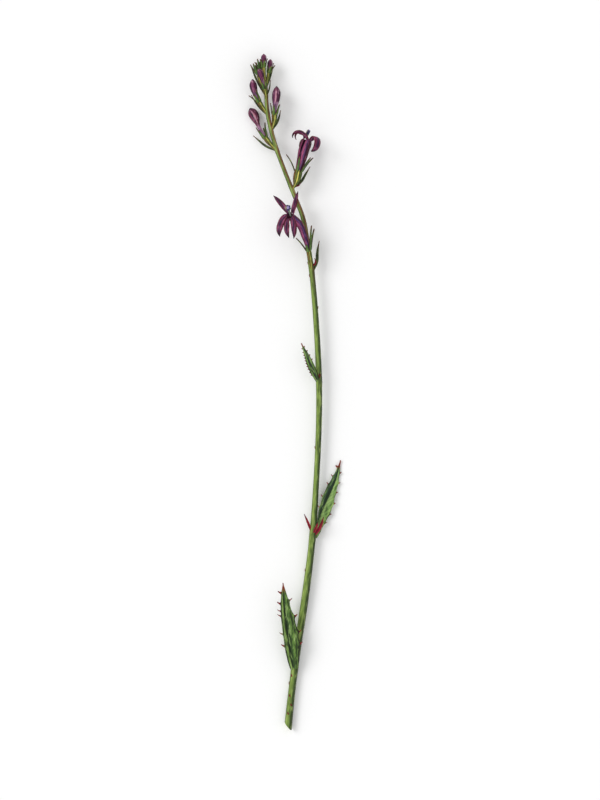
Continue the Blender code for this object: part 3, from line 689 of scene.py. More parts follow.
def makeStem(organPlaces):
    start, end = stemForm["route"][0][1], stemForm["route"][-1][1]
    steps = round((end - start) / stemForm["rowStep"])
    alongs = [start + (end - start) * i / steps for i in range(steps + 1)]
    middles, radii = zip(*[stemRow(along) for along in alongs])
    line = guideLine(middles, straight=True)[0]
    slow, fast = stemForm["unevenGrain"]
    rows = []
    x = 0.0
    for i, along in enumerate(alongs):
        x += (middles[i] - middles[i - 1]).length if i else 0
        bulge = sum(math.exp(-(((along - at) / stemForm["swellingReach"]) ** 2)) for at in organPlaces)
        radius = radii[i] * (1 + stemForm["swelling"] * min(bulge, 1))
        place = x - (stemForm["beyondCut"] * mm if i == 0 else 0)
        row = ring(place, radius, stemForm["sides"], -math.pi / 2, stemForm["ribs"], stemForm["ribDepth"])
        for point in row:  # no rib runs quite even
            shift = noise.noise(Vector((place * slow, point.y * fast, point.z * fast)))
            point.yz = Vector(point.yz) * (1 + stemForm["uneven"] * shift)
        rows.append((i / steps, row, row))
    stem = growPiece("stemForm", rows, closed=True)
    selectAll()
    bpy.ops.mesh.fill_holes(sides=0)
    selectAll()
    bpy.ops.mesh.bisect(plane_co=(stemForm["cutPlace"] * mm, 0, 0), plane_no=stemForm["cutSlant"],
                        use_fill=True, clear_inner=True)
    give(stem, "stem", "pith")
    bpy.ops.mesh.inset(thickness=stemForm["rind"] * mm)
    stem.active_material_index = 1
    bpy.ops.object.material_slot_assign()
    bpy.ops.mesh.inset(thickness=stemForm["pithEdge"] * mm, depth=-stemForm["pithDepth"] * mm)
    faceOutwards()
    leaveEdit()
    bendAlong(stem, line)
    pick(stem)
    bpy.ops.object.shade_smooth_by_angle(angle=math.radians(40))
    settle(stem, "stem")


# Leaves: a pair is for the left half and the right one, but "crease" is its place across the leaf at the
# foot and farther out, and "section" is how high the margin and the middle of each half stand
leafForms = {
    "lower_leaf": {
        "at": -96.9, "side": 86,
        "route": [(-0.9, -90.3, 4.4), (-1.9, -83.3, 5.3), (-3.0, -76.3, 6.2), (-3.7, -71.0, 7.0),
                  (-4.2, -66.7, 7.8)],
        "widths": (2.6, 3.4), "widest": (0.26, 0.4), "base": (0.6, 0.32), "taper": (3.0, 1.6),
        "section": (0.06, 0.3),
        "leftTeeth": [0.28, 0.42, 0.63, 0.685, 0.765, 0.885],
        "rightTeeth": [0.28, 0.42, 0.6, 0.79],
        "tooth": (1.15, 1.0), "wave": 0.1, "crease": (0.34, 0.3), "scallop": (0.08, 0.7),
    },
    "middle_leaf": {
        "at": -50.9, "side": -14, "roll": [50, 28, 12, 4, 0, 0],
        "route": [(9.0, -44.6, 1.6), (11.1, -39.3, 1.0), (12.9, -34.6, 0.6), (14.5, -30.4, 0.4),
                  (16.0, -23.9, 0.6)],
        "widths": (2.75, 2.35), "widest": (0.48, 0.4), "base": (0.3, 0.3), "taper": (1.65, 1.35),
        "section": (0.5, 0.24),
        "leftTeeth": [0.36, 0.5, 0.665, 0.785, 0.91],
        "rightTeeth": [0.21, 0.33, 0.47, 0.605, 0.725, 0.845],
        "tooth": (0.75, 0.5), "wave": 0.04, "crease": (0.6, 0.0), "scallop": (0.24, 0.3),
    },
    "upper_leaf": {
        "at": 3.6, "side": 112,
        "route": [(5.6, 9.1, 5.2), (3.9, 13.3, 5.5), (2.2, 17.1, 5.7)],
        "widths": (1.25, 1.3), "widest": (0.36, 0.36), "base": (0.5, 0.4), "taper": (1.7, 1.5),
        "section": (0.05, 0.25),
        "leftTeeth": [0.2, 0.28, 0.36, 0.43, 0.5, 0.57, 0.64, 0.71, 0.78, 0.86],
        "rightTeeth": [0.55, 0.66, 0.78, 0.88],
        "tooth": (0.36, 0.4), "wave": 0.03, "crease": (0.1, 0.1), "scallop": (0.05, 0.05),
    },
}
bladeForm = {"rowStep": 0.34, "columns": 18, "thickness": 0.28, "thinShare": 0.45, "sunk": 0.35,
             "tip": 0.2, "toothFoot": 0.38, "ribWidth": 0.16, "ribDepth": 0.09, "dipLimit": 0.3,
             "creaseRun": 1.6, "waveTurn": 1.25, "waveShift": 1.9,
             "veinStep": 2.1, "veinDepth": 0.05, "veinSlope": 1.3, "veinWidth": 0.13,
             # how much a tooth narrows, goes out, goes forward and reddens, at each of three steps
             "toothSteps": [(0.66, 0.3, 0.15, 0.4), (0.76, 0.35, 0.25, 0.8), (0.72, 0.35, 0.35, 1.0)],
             "toothRise": 0.02}


def bladeShare(t, widest, base, taper):
    # half width at a share of the length, as a share of the widest
    if t < widest:
        return base + (1 - base) * math.sin(t / widest * math.pi / 2)
    return 1 - ((t - widest) / (1 - widest)) ** taper


def fromCrease(form, t, u):
    # the place across the leaf, still from -1 to 1, with 0 at its crease
    base, end = form["crease"]
    crease = base + (end - base) * min(1, bladeForm["creaseRun"] * t)
    return (u - crease) / (1 - crease if u > crease else 1 + crease)


def dip(form, t, left):
    # how far the margin draws in between its teeth, in millimetres
    stops = [0.1, *form["leftTeeth" if left else "rightTeeth"], 1.0]
    for start, end in zip(stops, stops[1:]):
        if start < t < end:
            return form["scallop"][0 if left else 1] * math.sin(math.pi * (t - start) / (end - start)) ** 0.7
    return 0.0


def leafHeight(form, x, u, half, t):
    # fold, midrib groove, side veins and a slow wave of the margin
    margin, middle = form["section"]
    a = abs(u)
    y = a * half / mm
    height = half * (4 * middle * a * (1 - a) + margin * a * (2 * a - 1))
    groove = bladeForm["ribDepth"] * math.exp(-((y / bladeForm["ribWidth"]) ** 2))
    phase = ((x / mm - bladeForm["veinSlope"] * y) / bladeForm["veinStep"]) % 1 - 0.5
    vein = bladeForm["veinDepth"] * math.exp(-((phase / bladeForm["veinWidth"]) ** 2))
    vein = vein * math.sin(math.pi * min(a, 1)) ** 0.5
    turn = x / mm * bladeForm["waveTurn"] + (0 if u > 0 else bladeForm["waveShift"])
    wave = form["wave"] * a**2 * math.sin(turn) * min(1, 4 * t)  # none at the foot
    return height + (wave - groove - vein * min(1, half / mm)) * mm


def growTooth(leaf, form, left, place):
    # two edges of the margin are drawn out and forward into a thin spine
    selectAll(False)
    mesh = bmesh.from_edit_mesh(leaf.data)
    order, tip = marksOf(mesh, "order", "tip")
    wanted = bladeForm["columns"] if left else 0
    for edge in mesh.edges:
        onMargin = all(point[order] == wanted and point[tip] == 0 for point in edge.verts)
        middle = (edge.verts[0].co.x + edge.verts[1].co.x) / 2
        if onMargin and edge.is_boundary and abs(middle - place) < bladeForm["toothFoot"] * mm:
            edge.select_set(True)
    bmesh.update_edit_mesh(leaf.data)
    reach = form["tooth"][0] * mm if left else -form["tooth"][1] * mm
    for shrink, out, forward, redness in bladeForm["toothSteps"]:
        bpy.ops.mesh.extrude_edges_indiv()
        bpy.ops.transform.translate(value=(abs(reach) * forward, reach * out, bladeForm["toothRise"] * mm))
        mesh = bmesh.from_edit_mesh(leaf.data)
        tip = marksOf(mesh, "tip")[0]
        chosen = [point for point in mesh.verts if point.select]
        for point in chosen:
            point[tip] = redness
        middle = sum((point.co for point in chosen), Vector()) / len(chosen)
        bmesh.update_edit_mesh(leaf.data)
        bpy.ops.transform.resize(value=(shrink, shrink, shrink), center_override=middle)


def makeLeaf(node, form):
    line, length = guideLine(routeOf(form, bladeForm["sunk"]), form.get("roll", ()))
    rows = []
    for t in sharesOf(round(length / mm / bladeForm["rowStep"])):
        row, flow = [], []
        for u in placesAcross(bladeForm["columns"]):
            side = 0 if u > 0 else 1
            share = bladeShare(t, form["widest"][side], form["base"][side], form["taper"][side])
            half = form["widths"][side] * share
            drawnIn = min(dip(form, t, u > 0), bladeForm["dipLimit"] * half) * u**2
            half = max(half - drawnIn, bladeForm["tip"]) * mm
            fromFold = fromCrease(form, t, u)
            row.append(Vector((t * length, u * half, leafHeight(form, t * length, fromFold, half, t))))
            flow.append(Vector((t * length, fromFold * half, fromFold * mm)))
        rows.append((t, row, flow))
    leaf = growPiece(node + "_form", rows, closed=False)
    for left, teeth in ((True, form["leftTeeth"]), (False, form["rightTeeth"])):
        for share in teeth:
            growTooth(leaf, form, left, share * length)
    faceUp(leaf)
    give(leaf, node, "leafUnder")
    thicken(leaf, bladeForm["thickness"], bladeForm["thinShare"])
    bendAndSettle(leaf, line, node)


# Small leaves: bracts, bracteoles and the red leaflets in the middle leaf's axil
bractForms = {
    "middle_axil_long_leaflet": {
        "at": -49.9, "side": 36, "route": [(8.8, -47.2, 4.0), (10.05, -43.6, 4.5)], "width": 0.6,
    },
    "middle_axil_short_leaflet": {
        "at": -49.4, "side": 72, "route": [(7.4, -47.4, 4.6), (8.1, -45.5, 4.9)], "width": 0.42,
    },
    "middle_axil_left_leaflet": {
        "at": -48.6, "side": 146, "route": [(4.55, -45.7, 3.9), (3.2, -42.7, 4.1)], "width": 0.44,
    },
    "lower_flower_bract": {
        "at": 42.6, "side": -4, "route": [(7.6, 45.6, 4.1), (7.85, 49.2, 3.7), (8.5, 52.9, 3.3)],
        "width": 0.56,
    },
    "lower_flower_bracteole": {
        "at": 44.0, "side": 30, "route": [(7.1, 45.3, 5.2), (6.9, 46.8, 5.4)], "width": 0.3,
    },
    "upper_flower_bract": {
        "at": 71.2, "side": -30, "route": [(2.1, 73.6, 4.3), (3.7, 76.2, 4.0), (5.3, 78.9, 3.8)],
        "width": 0.5,
    },
    "upper_flower_bracteole": {
        "at": 71.6, "side": 8, "route": [(1.5, 72.4, 4.9), (1.95, 73.2, 5.0)], "width": 0.26,
    },
    "bud_1_bract": {
        "at": 84.6, "side": 204, "width": 0.42,
        "route": [(-10.4, 86.2, 3.2), (-12.5, 87.9, 2.4), (-14.7, 89.8, 1.6)],
    },
    "bud_2_bract": {
        "at": 91.6, "side": -30, "route": [(-6.0, 94.9, 4.2), (-5.0, 98.6, 3.8)], "width": 0.42,
    },
    "bud_3_bract": {
        "at": 97.0, "side": 214, "route": [(-13.2, 100.6, 3.7), (-15.4, 104.0, 3.4)], "width": 0.4,
    },
    "bud_4_bract": {
        "at": 103.8, "side": 20, "route": [(-8.9, 106.4, 5.9), (-8.6, 109.1, 6.4)], "width": 0.26,
    },
    "bud_5_bract": {
        "at": 106.6, "side": -56, "width": 0.42,
        "route": [(-8.55, 111.0, 3.4), (-8.0, 113.0, 3.0), (-7.5, 115.2, 2.7)],
    },
    "bud_7_bract": {
        "at": 103.8, "side": 212, "route": [(-13.2, 108.8, 3.3), (-15.6, 114.6, 3.2)], "width": 0.42,
    },
}
narrowForm = {"columns": 8, "rows": 26, "thickness": 0.2, "thinShare": 0.6, "sunk": 0.3, "fold": 0.35,
              "tip": 0.13, "ragged": 0.06, "raggedGrain": (14, 2), "outline": (0.35, 0.65, 2.2)}


def makeBract(node, form):
    line, length = guideLine(routeOf(form, narrowForm["sunk"]))
    lengthwise, crosswise = narrowForm["raggedGrain"]
    rows = []
    for t in sharesOf(narrowForm["rows"]):
        half = max(form["width"] * bladeShare(t, *narrowForm["outline"]), narrowForm["tip"]) * mm
        row = []
        for u in placesAcross(narrowForm["columns"]):
            shift = noise.noise(Vector((t * lengthwise, u * crosswise, form["at"])))
            height = half * narrowForm["fold"] * abs(u) ** 1.4
            row.append(Vector((t * length, u * half * (1 + narrowForm["ragged"] * shift), height)))
        rows.append((t, row, row))
    bract = growPiece(node + "_form", rows, closed=False)
    faceUp(bract)
    red = "leaflet" in node or "bracteole" in node
    finish = "red" if red else "bract"
    give(bract, finish, finish)
    thicken(bract, narrowForm["thickness"], narrowForm["thinShare"])
    bendAndSettle(bract, line, node)


# Calyces: pedicel, ribbed ovary and five sepals, each its length and its lean in degrees
calyxForms = {
    "lower_flower": {
        "at": 43.2, "side": 88, "route": [(5.3, 46.8, 6.6), (4.75, 49.85, 7.1)], "rim": 0.9,
        "broad": 1.2, "turn": -6, "sepals": [(6.4, 28), (2.8, 6), (9.8, 16), (8.2, 22), (5.0, 16)],
    },
    "upper_flower": {
        "at": 70.7, "side": 58, "route": [(0.5, 74.0, 6.2), (1.3, 77.6, 6.0)], "rim": 1.52,
        "sepals": [(7.0, 38), (5.6, 8), (6.6, 24), (7.6, 30), (4.4, 18)],
    },
    "bud_1": {
        "at": 84.8, "side": 166, "route": [(-8.9, 87.1, 4.7), (-10.6, 89.3, 3.8)], "rim": 0.98,
        "sepals": [(5.4, -4), (3.6, 8), (5.2, 36), (4.2, 14), (3.8, 14)],
    },
    "bud_2": {
        "at": 91.8, "side": 8, "route": [(-7.3, 94.8, 5.4), (-7.1, 97.6, 5.7)], "rim": 1.04,
        "sepals": [(4.1, 12), (3.4, 8), (4.0, 15), (3.8, 14), (3.8, 14)],
    },
    "bud_3": {
        "at": 97.4, "side": 172, "route": [(-11.7, 100.1, 5.3), (-12.8, 101.9, 5.3)], "rim": 0.85,
        "sepals": [(4.2, 18), (3.2, 8), (4.4, 10), (3.6, 12), (3.6, 12)],
    },
    "bud_4": {
        "at": 102.6, "side": 90, "route": [(-10.4, 104.6, 6.9), (-10.8, 106.4, 7.3)], "rim": 0.8,
        "sepals": [(3.4, 14), (2.8, 8), (3.2, 10), (3.0, 12), (3.0, 12)],
    },
    "bud_5": {
        "at": 106.8, "side": -6, "route": [(-9.6, 109.9, 4.5), (-9.05, 112.2, 4.3)], "rim": 0.6,
        "turn": 36, "sepals": [(2.8, 14), (2.6, 12), (3.4, 18), (2.8, 16), (2.8, 14)],
    },
    "bud_7": {
        "at": 104.4, "side": 178, "route": [(-12.2, 108.6, 5.1), (-13.3, 111.9, 5.2)], "rim": 0.52,
        "sepals": [(4.1, 14), (4.2, 8), (4.2, 8), (3.6, 10), (3.8, 14)],
    },
    "bud_8": {
        "at": 105.8, "side": 258, "route": [(-11.4, 109.6, 3.0), (-12.1, 113.0, 2.8)], "rim": 0.5,
        "sepals": [(3.9, 16), (4.6, 8), (4.4, 6), (3.4, 10), (3.6, 12)],
    },
    "bud_6": {
        "route": [(-10.3, 108.3, 5.1), (-10.8, 111.6, 5.5), (-10.9, 114.2, 5.6)], "rim": 0.66,
        "turn": 36, "sepals": [(2.8, 14), (2.6, 8), (3.2, 14), (2.8, 10), (2.8, 12)],
    },
}
ovaryForm = {"sides": 60, "rows": 26, "neck": 0.45, "ribs": 10, "ribDepth": 0.16, "sunk": 0.4,
             "neckEnd": 0.18, "outline": [(0.5, 0.84), (0.76, 1), (1, 0.9)],
             "ribStart": 0.2, "ribRamp": 0.3, "dish": [(0.8, 0.02), (0.4, 0.12)]}
sepalForm = {"columns": 6, "rows": 20, "thickness": 0.46, "thinTip": 0.7, "foot": 0.9, "tip": 0.06,
             "fold": 0.2, "halfWidths": [(0, 0.4), (0.14, 0.5), (0.5, 0.38), (0.85, 0.26), (1, 0.14)],
             "onRim": 0.88, "inward": 0.07, "leans": (0.65, 0.7), "footLean": 40, "footShare": 0.2,
             "firstShare": 1.02}  # just past the ovary's last, so that the finish is a sepal's


def makeSepal(name, number, form, length):
    # a narrow blade that stands on the rim and leans out more towards its tip
    sepalLength, lean = form["sepals"][number]
    angle = math.radians(form.get("turn", 0)) + 2 * math.pi * number / len(form["sepals"])
    out = Vector((0, math.cos(angle), math.sin(angle)))
    across = Vector((0, -math.sin(angle), math.cos(angle)))
    aside = sepalForm["onRim"] * form["rim"] - sepalForm["inward"] * sepalLength
    place = Vector((sepalForm["foot"] * length, 0, 0)) + out * aside * mm
    shares = placesAcross(sepalForm["columns"])
    rows = []
    for t in sharesOf(sepalForm["rows"]):
        fromOvary = sepalForm["footLean"] * max(0, 1 - t / sepalForm["footShare"])
        tilt = math.radians(lean * (sepalForm["leans"][0] + sepalForm["leans"][1] * t) + fromOvary)
        ahead = Vector((math.cos(tilt), 0, 0)) + out * math.sin(tilt)
        outward = out * math.cos(tilt) - Vector((math.sin(tilt), 0, 0))
        if t:
            place = place + ahead * (sepalLength * mm / sepalForm["rows"])
        half = max(readOff(sepalForm["halfWidths"], t), sepalForm["tip"]) * form.get("broad", 1) * mm
        row = [place + across * (half * u) + outward * (half * sepalForm["fold"] * (1 - u * u))
               for u in shares]
        flow = [Vector((length + t * sepalLength * mm, half * u, 0)) for u in shares]
        rows.append((sepalForm["firstShare"] + t, row, flow))
    sepal = growPiece(f"{name}_sepal_{number}", rows, closed=False)
    faceOutwards()
    leaveEdit()
    give(sepal, "calyx")
    thicken(sepal, sepalForm["thickness"], tipShare=sepalForm["thinTip"])
    order = sepal.data.attributes["order"].data  # the margin is marked for its finish
    for k, mark in enumerate(sepal.data.attributes["tip"].data):
        mark.value = abs(shares[order[k].value])
    return sepal


def makeCalyx(name, form):
    line, length = guideLine(routeOf(form, ovaryForm["sunk"]))
    rim, sides, turn = form["rim"], ovaryForm["sides"], math.radians(form.get("turn", 0))
    outline = [(0, ovaryForm["neck"]), (ovaryForm["neckEnd"], ovaryForm["neck"])]
    outline += [(share, width * rim) for share, width in ovaryForm["outline"]]
    rows = []
    for t in sharesOf(ovaryForm["rows"]):
        depth = ovaryForm["ribDepth"] * min(1, max(0, (t - ovaryForm["ribStart"]) / ovaryForm["ribRamp"]))
        row = ring(t * length, readOff(outline, t) * mm, sides, turn, ovaryForm["ribs"], depth)
        rows.append((t, row, row))
    for share, sunk in ovaryForm["dish"]:  # a shallow dish closes the top
        row = ring(length - sunk * mm, share * rim * mm, sides, turn)
        rows.append((1.0, row, row))
    ovary = growPiece(name + "_ovary", rows, closed=True)
    closeEnds()
    give(ovary, "calyx")
    sepals = [makeSepal(name, number, form, length) for number in range(len(form["sepals"]))]
    calyx = joinPieces([ovary, *sepals], name + "_calyx_form")
    bendAndSettle(calyx, line, name + "_calyx")


# Closed petals
budForms = {
    "bud_1": {"route": [(-12.4, 92.4, 2.8), (-14.1, 96.4, 1.9), (-15.8, 99.4, 1.72)], "radius": 1.72,
              "finish": "openingBud",
              "outline": [(0, 0.38), (0.25, 0.38), (0.44, 0.42), (0.53, 0.56), (0.63, 0.84), (0.74, 0.98),
                          (0.84, 0.96), (0.93, 0.68), (1, 0.08)]},
    "bud_2": {"route": [(-6.8, 100.9, 5.9), (-6.5, 104.0, 6.0), (-6.4, 107.0, 5.9)], "radius": 1.45,
              "finish": "highlightedBud"},
    "bud_3": {"route": [(-14.2, 105.4, 5.3), (-14.9, 109.5, 5.3)], "radius": 1.28},
    "bud_4": {"route": [(-11.7, 110.0, 7.7), (-12.7, 113.1, 7.9)], "radius": 1.05,
              "outline": [(0, 0.5), (0.3, 0.52), (0.5, 0.62), (0.64, 0.94), (0.78, 1), (0.9, 0.72),
                          (1, 0.06)]},
    "bud_5": {"route": [(-8.8, 114.3, 4.2), (-8.6, 116.5, 4.2)], "radius": 0.92},
    "bud_6": {"route": [(-10.9, 116.4, 5.6), (-10.9, 118.3, 5.6)], "radius": 0.94},
    "bud_7": {"route": [(-13.7, 113.3, 5.2), (-13.9, 114.4, 5.2)], "radius": 0.46},
    "bud_8": {"route": [(-12.3, 114.3, 2.8), (-12.4, 115.6, 2.8)], "radius": 0.44},
}
foldedForm = {
    "outline": [(0, 0.4), (0.2, 0.44), (0.3, 0.55), (0.44, 0.8), (0.58, 0.98), (0.76, 1), (0.9, 0.62),
                (1, 0.05)],
    "sides": 50, "rows": 34, "seams": 5, "seamDepth": 0.12, "seamWidth": 0.42, "firstSeam": 1.9,
    "bulge": 0.03, "twist": 0.25, "sunk": 0.5,
}


def insideRim(form, sunk):
    # the point inside a calyx's rim where the petals start
    last, rim = inMetres(form["route"][-2:])
    return rim - (rim - last).normalized() * sunk * mm


def makeClosedPetals(node, finish, places, form):
    line, length = guideLine(places)
    outline, seams = form.get("outline", foldedForm["outline"]), foldedForm["seams"]
    rows = []
    for t in sharesOf(foldedForm["rows"]):
        reach = readOff(outline, t) * (form["radius"] * mm)
        depth = foldedForm["seamDepth"] * (0.3 + 0.7 * t)  # the seams are deeper towards the tip
        row = []
        for k in range(foldedForm["sides"]):
            angle = 2 * math.pi * k / foldedForm["sides"]
            seam = math.exp(-((math.sin(seams * angle / 2) / foldedForm["seamWidth"]) ** 2))
            bulge = foldedForm["bulge"] * math.cos(seams * angle + math.pi)
            spread = reach * (1 - depth * seam) * (1 + bulge)
            turned = foldedForm["firstSeam"] + angle + foldedForm["twist"] * t
            row.append(Vector((t * length, spread * math.cos(turned), spread * math.sin(turned))))
        rows.append((t, row, row))
    petals = growPiece(node + "_form", rows, closed=True)
    closeEnds()
    give(petals, finish)
    bendAndSettle(petals, line, node)


# Open corollas: a slit tube with two narrow and three broad lobes. A lobe's pitch is 0 along the
# tube and 90 straight out, and its pitch and azimuth go from the first value to the second
corollaForms = {
    "lower_flower": {
        "route": [(3.3, 54.4, 7.7), (1.5, 58.7, 7.8), (-1.1, 61.0, 8.3), (-1.9, 61.7, 9.6)],
        "radii": (0.66, 1.2, 1.3), "slit": 198,
        "lobes": [
            {"centre": -36, "edges": 3, "azimuth": (0, -8), "pitch": (53, 72), "length": 8.3,
             "width": 1.08},
            {"centre": 36, "edges": 3, "azimuth": (58, 70), "pitch": (56, 80), "length": 8.5,
             "width": 0.95},
            {"centre": 99, "edges": 4, "azimuth": (165, 217), "pitch": (66, 116), "length": 8.7,
             "width": 1.5},
            {"centre": 180, "edges": 5, "azimuth": (195, 224), "pitch": (74, 112), "length": 7.4,
             "width": 1.1},
            {"centre": -99, "edges": 4, "azimuth": (-127, -174), "pitch": (76, 114), "length": 8.3,
             "width": 1.15},
        ],
    },
    "upper_flower": {
        "route": [(2.4, 81.6, 5.85), (3.2, 84.9, 5.8), (4.2, 88.0, 5.78)],
        "radii": (1.14, 1.84, 1.42), "slit": 56,
        "lobes": [
            {"centre": -36, "edges": 3, "azimuth": (-36, -42), "pitch": (-20, 250), "length": 8.2,
             "width": 1.1, "twist": 32},
            {"centre": 36, "edges": 3, "azimuth": (-30, -50), "pitch": (45, 232), "length": 9.4,
             "width": 1.25, "late": 2, "twist": 32},
            {"centre": 99, "edges": 4, "azimuth": (66, 58), "pitch": (14, 296), "length": 13.6,
             "width": 1.35},
            {"centre": 180, "edges": 5, "azimuth": (202, 212), "pitch": (80, 258), "length": 6.0,
             "width": 0.9},
            {"centre": -99, "edges": 4, "azimuth": (-126, -146), "pitch": (80, 258), "length": 5.6,
             "width": 0.85},
        ],
    },
}
tubeForm = {"sides": 60, "edgesPerLobeEdge": 3, "rows": 26, "thickness": 0.16, "sunk": 0.6,
            "slitOpening": 16, "slitStart": 0.3, "uneven": 0.03, "unevenGrain": 3}
lobeForm = {"rows": 26, "cup": (0.25, -0.4), "tip": 0.04, "turnedBy": 2.5, "foot": 0.2, "swell": 0.76,
            "fullness": 0.8, "bluntness": 14, "ripple": 0.05, "rippleGrain": (7, 2.5)}


def growLobe(corolla, form, lobe, length):
    # part of the mouth's edge is drawn out into a lobe that curls
    slit = math.radians(form["slit"])
    centre = math.radians(lobe["centre"])
    count = lobe["edges"] * tubeForm["edgesPerLobeEdge"]
    halfSpan = math.pi * count / tubeForm["sides"]
    selectAll(False)
    mesh = bmesh.from_edit_mesh(corolla.data)
    order, share, mouthTurn = marksOf(mesh, "order", "along", "mouthTurn")

    def turnOf(point):
        return math.remainder(point[mouthTurn] - centre, 2 * math.pi)

    for edge in mesh.edges:
        if all(point[share] == 1 and abs(turnOf(point)) < halfSpan + 0.01 for point in edge.verts):
            edge.select_set(True)
    chosen = sorted((point for point in mesh.verts if point.select), key=turnOf)
    for k, point in enumerate(chosen):
        point[order] = k
    place = chosen[len(chosen) // 2].co.copy()
    bmesh.update_edit_mesh(corolla.data)
    lengthwise, crosswise = lobeForm["rippleGrain"]
    rows = []
    for i in range(1, lobeForm["rows"] + 1):
        t = i / lobeForm["rows"]
        halfway = (i - 0.5) / lobeForm["rows"]
        curl = halfway ** lobe.get("late", 1)  # a late curl keeps the lobe's foot straight
        pitch, azimuth = (math.radians(first + (last - first) * done)
                          for (first, last), done in ((lobe["pitch"], curl), (lobe["azimuth"], halfway)))
        out = Vector((0, math.cos(slit + azimuth), math.sin(slit + azimuth)))
        heading = Vector((math.cos(pitch), 0, 0)) + out * math.sin(pitch)
        turned = math.radians(lobe.get("twist", 0)) * min(1, lobeForm["turnedBy"] * halfway)
        twist = Matrix.Rotation(turned, 3, heading)
        across = twist @ Vector((0, -out.z, out.y))
        inner = twist @ (Vector((math.sin(pitch), 0, 0)) - out * math.cos(pitch))
        place = place + heading * (lobe["length"] * mm / lobeForm["rows"])
        swell = math.sin(math.pi * (lobeForm["foot"] + lobeForm["swell"] * t)) ** lobeForm["fullness"]
        half = max(lobe["width"] * swell * (1 - t ** lobeForm["bluntness"]), lobeForm["tip"]) * mm
        start, end = lobeForm["cup"]
        cup = start + (end - start) * min(1, lobeForm["turnedBy"] * t)
        row, flow = [], []
        for u in placesAcross(count):
            shift = noise.noise(Vector((t * lengthwise, u * crosswise, lobe["centre"])))
            ripple = lobeForm["ripple"] * mm * shift
            row.append(place + across * (half * u) + inner * (half * cup * u * u + ripple))
            flow.append(Vector((length + t * lobe["length"] * mm, half * u, lobe["centre"] * mm / 10)))
        rows.append((1 + t, row, flow))
    growRows(corolla, rows, extrudeFirst=True)
    mesh = bmesh.from_edit_mesh(corolla.data)  # the lobe's margin is marked for its finish
    order, share, tip = marksOf(mesh, "order", "along", "tip")
    for point in mesh.verts:
        if point[share] > 1 and point[tip] == 0:
            point[tip] = max(abs(2 * point[order] / count - 1), 0.01)  # 0 would say not marked yet
    bmesh.update_edit_mesh(corolla.data)


def cutSlit(corolla, length):
    # the tube's last side is open from where the slit starts, and each point's turn is kept for the lobes
    selectAll(False)
    mesh = bmesh.from_edit_mesh(corolla.data)
    order = marksOf(mesh, "order")[0]
    for face in mesh.faces:
        besideSlit = all(point[order] in (0, tubeForm["sides"] - 1) for point in face.verts)
        if besideSlit and face.calc_center_median().x > tubeForm["slitStart"] * length:
            face.select_set(True)
    bmesh.update_edit_mesh(corolla.data)
    bpy.ops.mesh.delete(type="FACE")
    mesh = bmesh.from_edit_mesh(corolla.data)
    mesh.verts.layers.float.new("mouthTurn")  # because each lobe changes "order"
    order, mouthTurn = marksOf(mesh, "order", "mouthTurn")
    for point in mesh.verts:
        point[mouthTurn] = 2 * math.pi * (point[order] + 0.5) / tubeForm["sides"]
    bmesh.update_edit_mesh(corolla.data)


def makeCorolla(name, form):
    line, length = guideLine([insideRim(calyxForms[name], tubeForm["sunk"]), *inMetres(form["route"])])
    foot, belly, mouth = form["radii"]
    outline = [(0, foot), (0.15, 1.08 * foot), (0.4, (foot + 2 * belly) / 3), (0.7, belly), (1, mouth)]
    slit = math.radians(form["slit"])
    rows = []
    for t in sharesOf(tubeForm["rows"]):
        opened = max(0, (t - tubeForm["slitStart"]) / (1 - tubeForm["slitStart"]))
        opening = math.radians(tubeForm["slitOpening"]) * opened ** 2
        reach = readOff(outline, t) * mm
        row = []
        for k in range(tubeForm["sides"]):
            turn = math.remainder(2 * math.pi * (k + 0.5) / tubeForm["sides"], 2 * math.pi)
            angle = slit + turn + math.copysign(opening * (1 - abs(turn) / math.pi), turn)
            shift = noise.noise(Vector((t * tubeForm["unevenGrain"], math.cos(turn), math.sin(turn))))
            across = reach * (1 + tubeForm["uneven"] * shift)
            row.append(Vector((t * length, across * math.cos(angle), across * math.sin(angle))))
        rows.append((t, row, row))
    corolla = growPiece(name + "_tube", rows, closed=True)
    cutSlit(corolla, length)
    for lobe in form["lobes"]:
        growLobe(corolla, form, lobe, length)
    faceUp(corolla)
    corolla.name = name + "_corolla_form"
    give(corolla, name + "_outside", name + "_inside")
    thicken(corolla, tubeForm["thickness"])
    bendAndSettle(corolla, line, name + "_corolla")


# Stamens: filament tube and anther head, with a tuft of pale hairs at its mouth. Each place along
# them is followed by their radius there
stamenForms = {
    "lower_flower": [(4.3, 51.6, 7.4, 0.2), (3.3, 54.4, 7.7, 0.22), (1.5, 58.7, 7.8, 0.26),
                     (-0.9, 60.9, 8.4, 0.26), (-1.65, 61.9, 9.9, 0.27), (-2.0, 63.0, 10.7, 0.33),
                     (-2.35, 63.8, 11.2, 0.6), (-2.45, 64.2, 11.9, 1.05), (-2.45, 64.35, 12.7, 1.08)],
    "upper_flower": [(1.8, 79.5, 5.9, 0.22), (2.4, 81.6, 5.85, 0.24), (3.2, 84.9, 5.8, 0.27),
                     (4.1, 87.9, 5.8, 0.3), (3.95, 89.2, 6.0, 0.36), (4.1, 89.8, 6.3, 0.62),
                     (4.5, 90.7, 6.6, 0.66), (4.95, 91.5, 6.8, 0.58)],
}
antherForm = {"sides": 40, "rows": 60, "anthers": 5, "grooveDepth": 0.2,
              "grooveStart": 0.7, "grooveRamp": 0.1, "firstGroove": 0.3,
              # the mouth's cup, each row its share of the radius, its depth and its place for the finish
              "cup": [(0.8, -0.06, 1.0), (0.44, 0.05, 1.0), (0.32, 0.15, 1.12)],
              "hairs": 60, "hairLength": 0.45, "hairRadius": 0.05, "hairSpread": 0.3, "hairLean": 0.5,
              "hairFoot": 0.08, "hairTurn": 2.4,  # golden turns spread the hairs evenly
              "hairShare": 1.2}  # past the mouth's last row, so that the finish is the hairs'


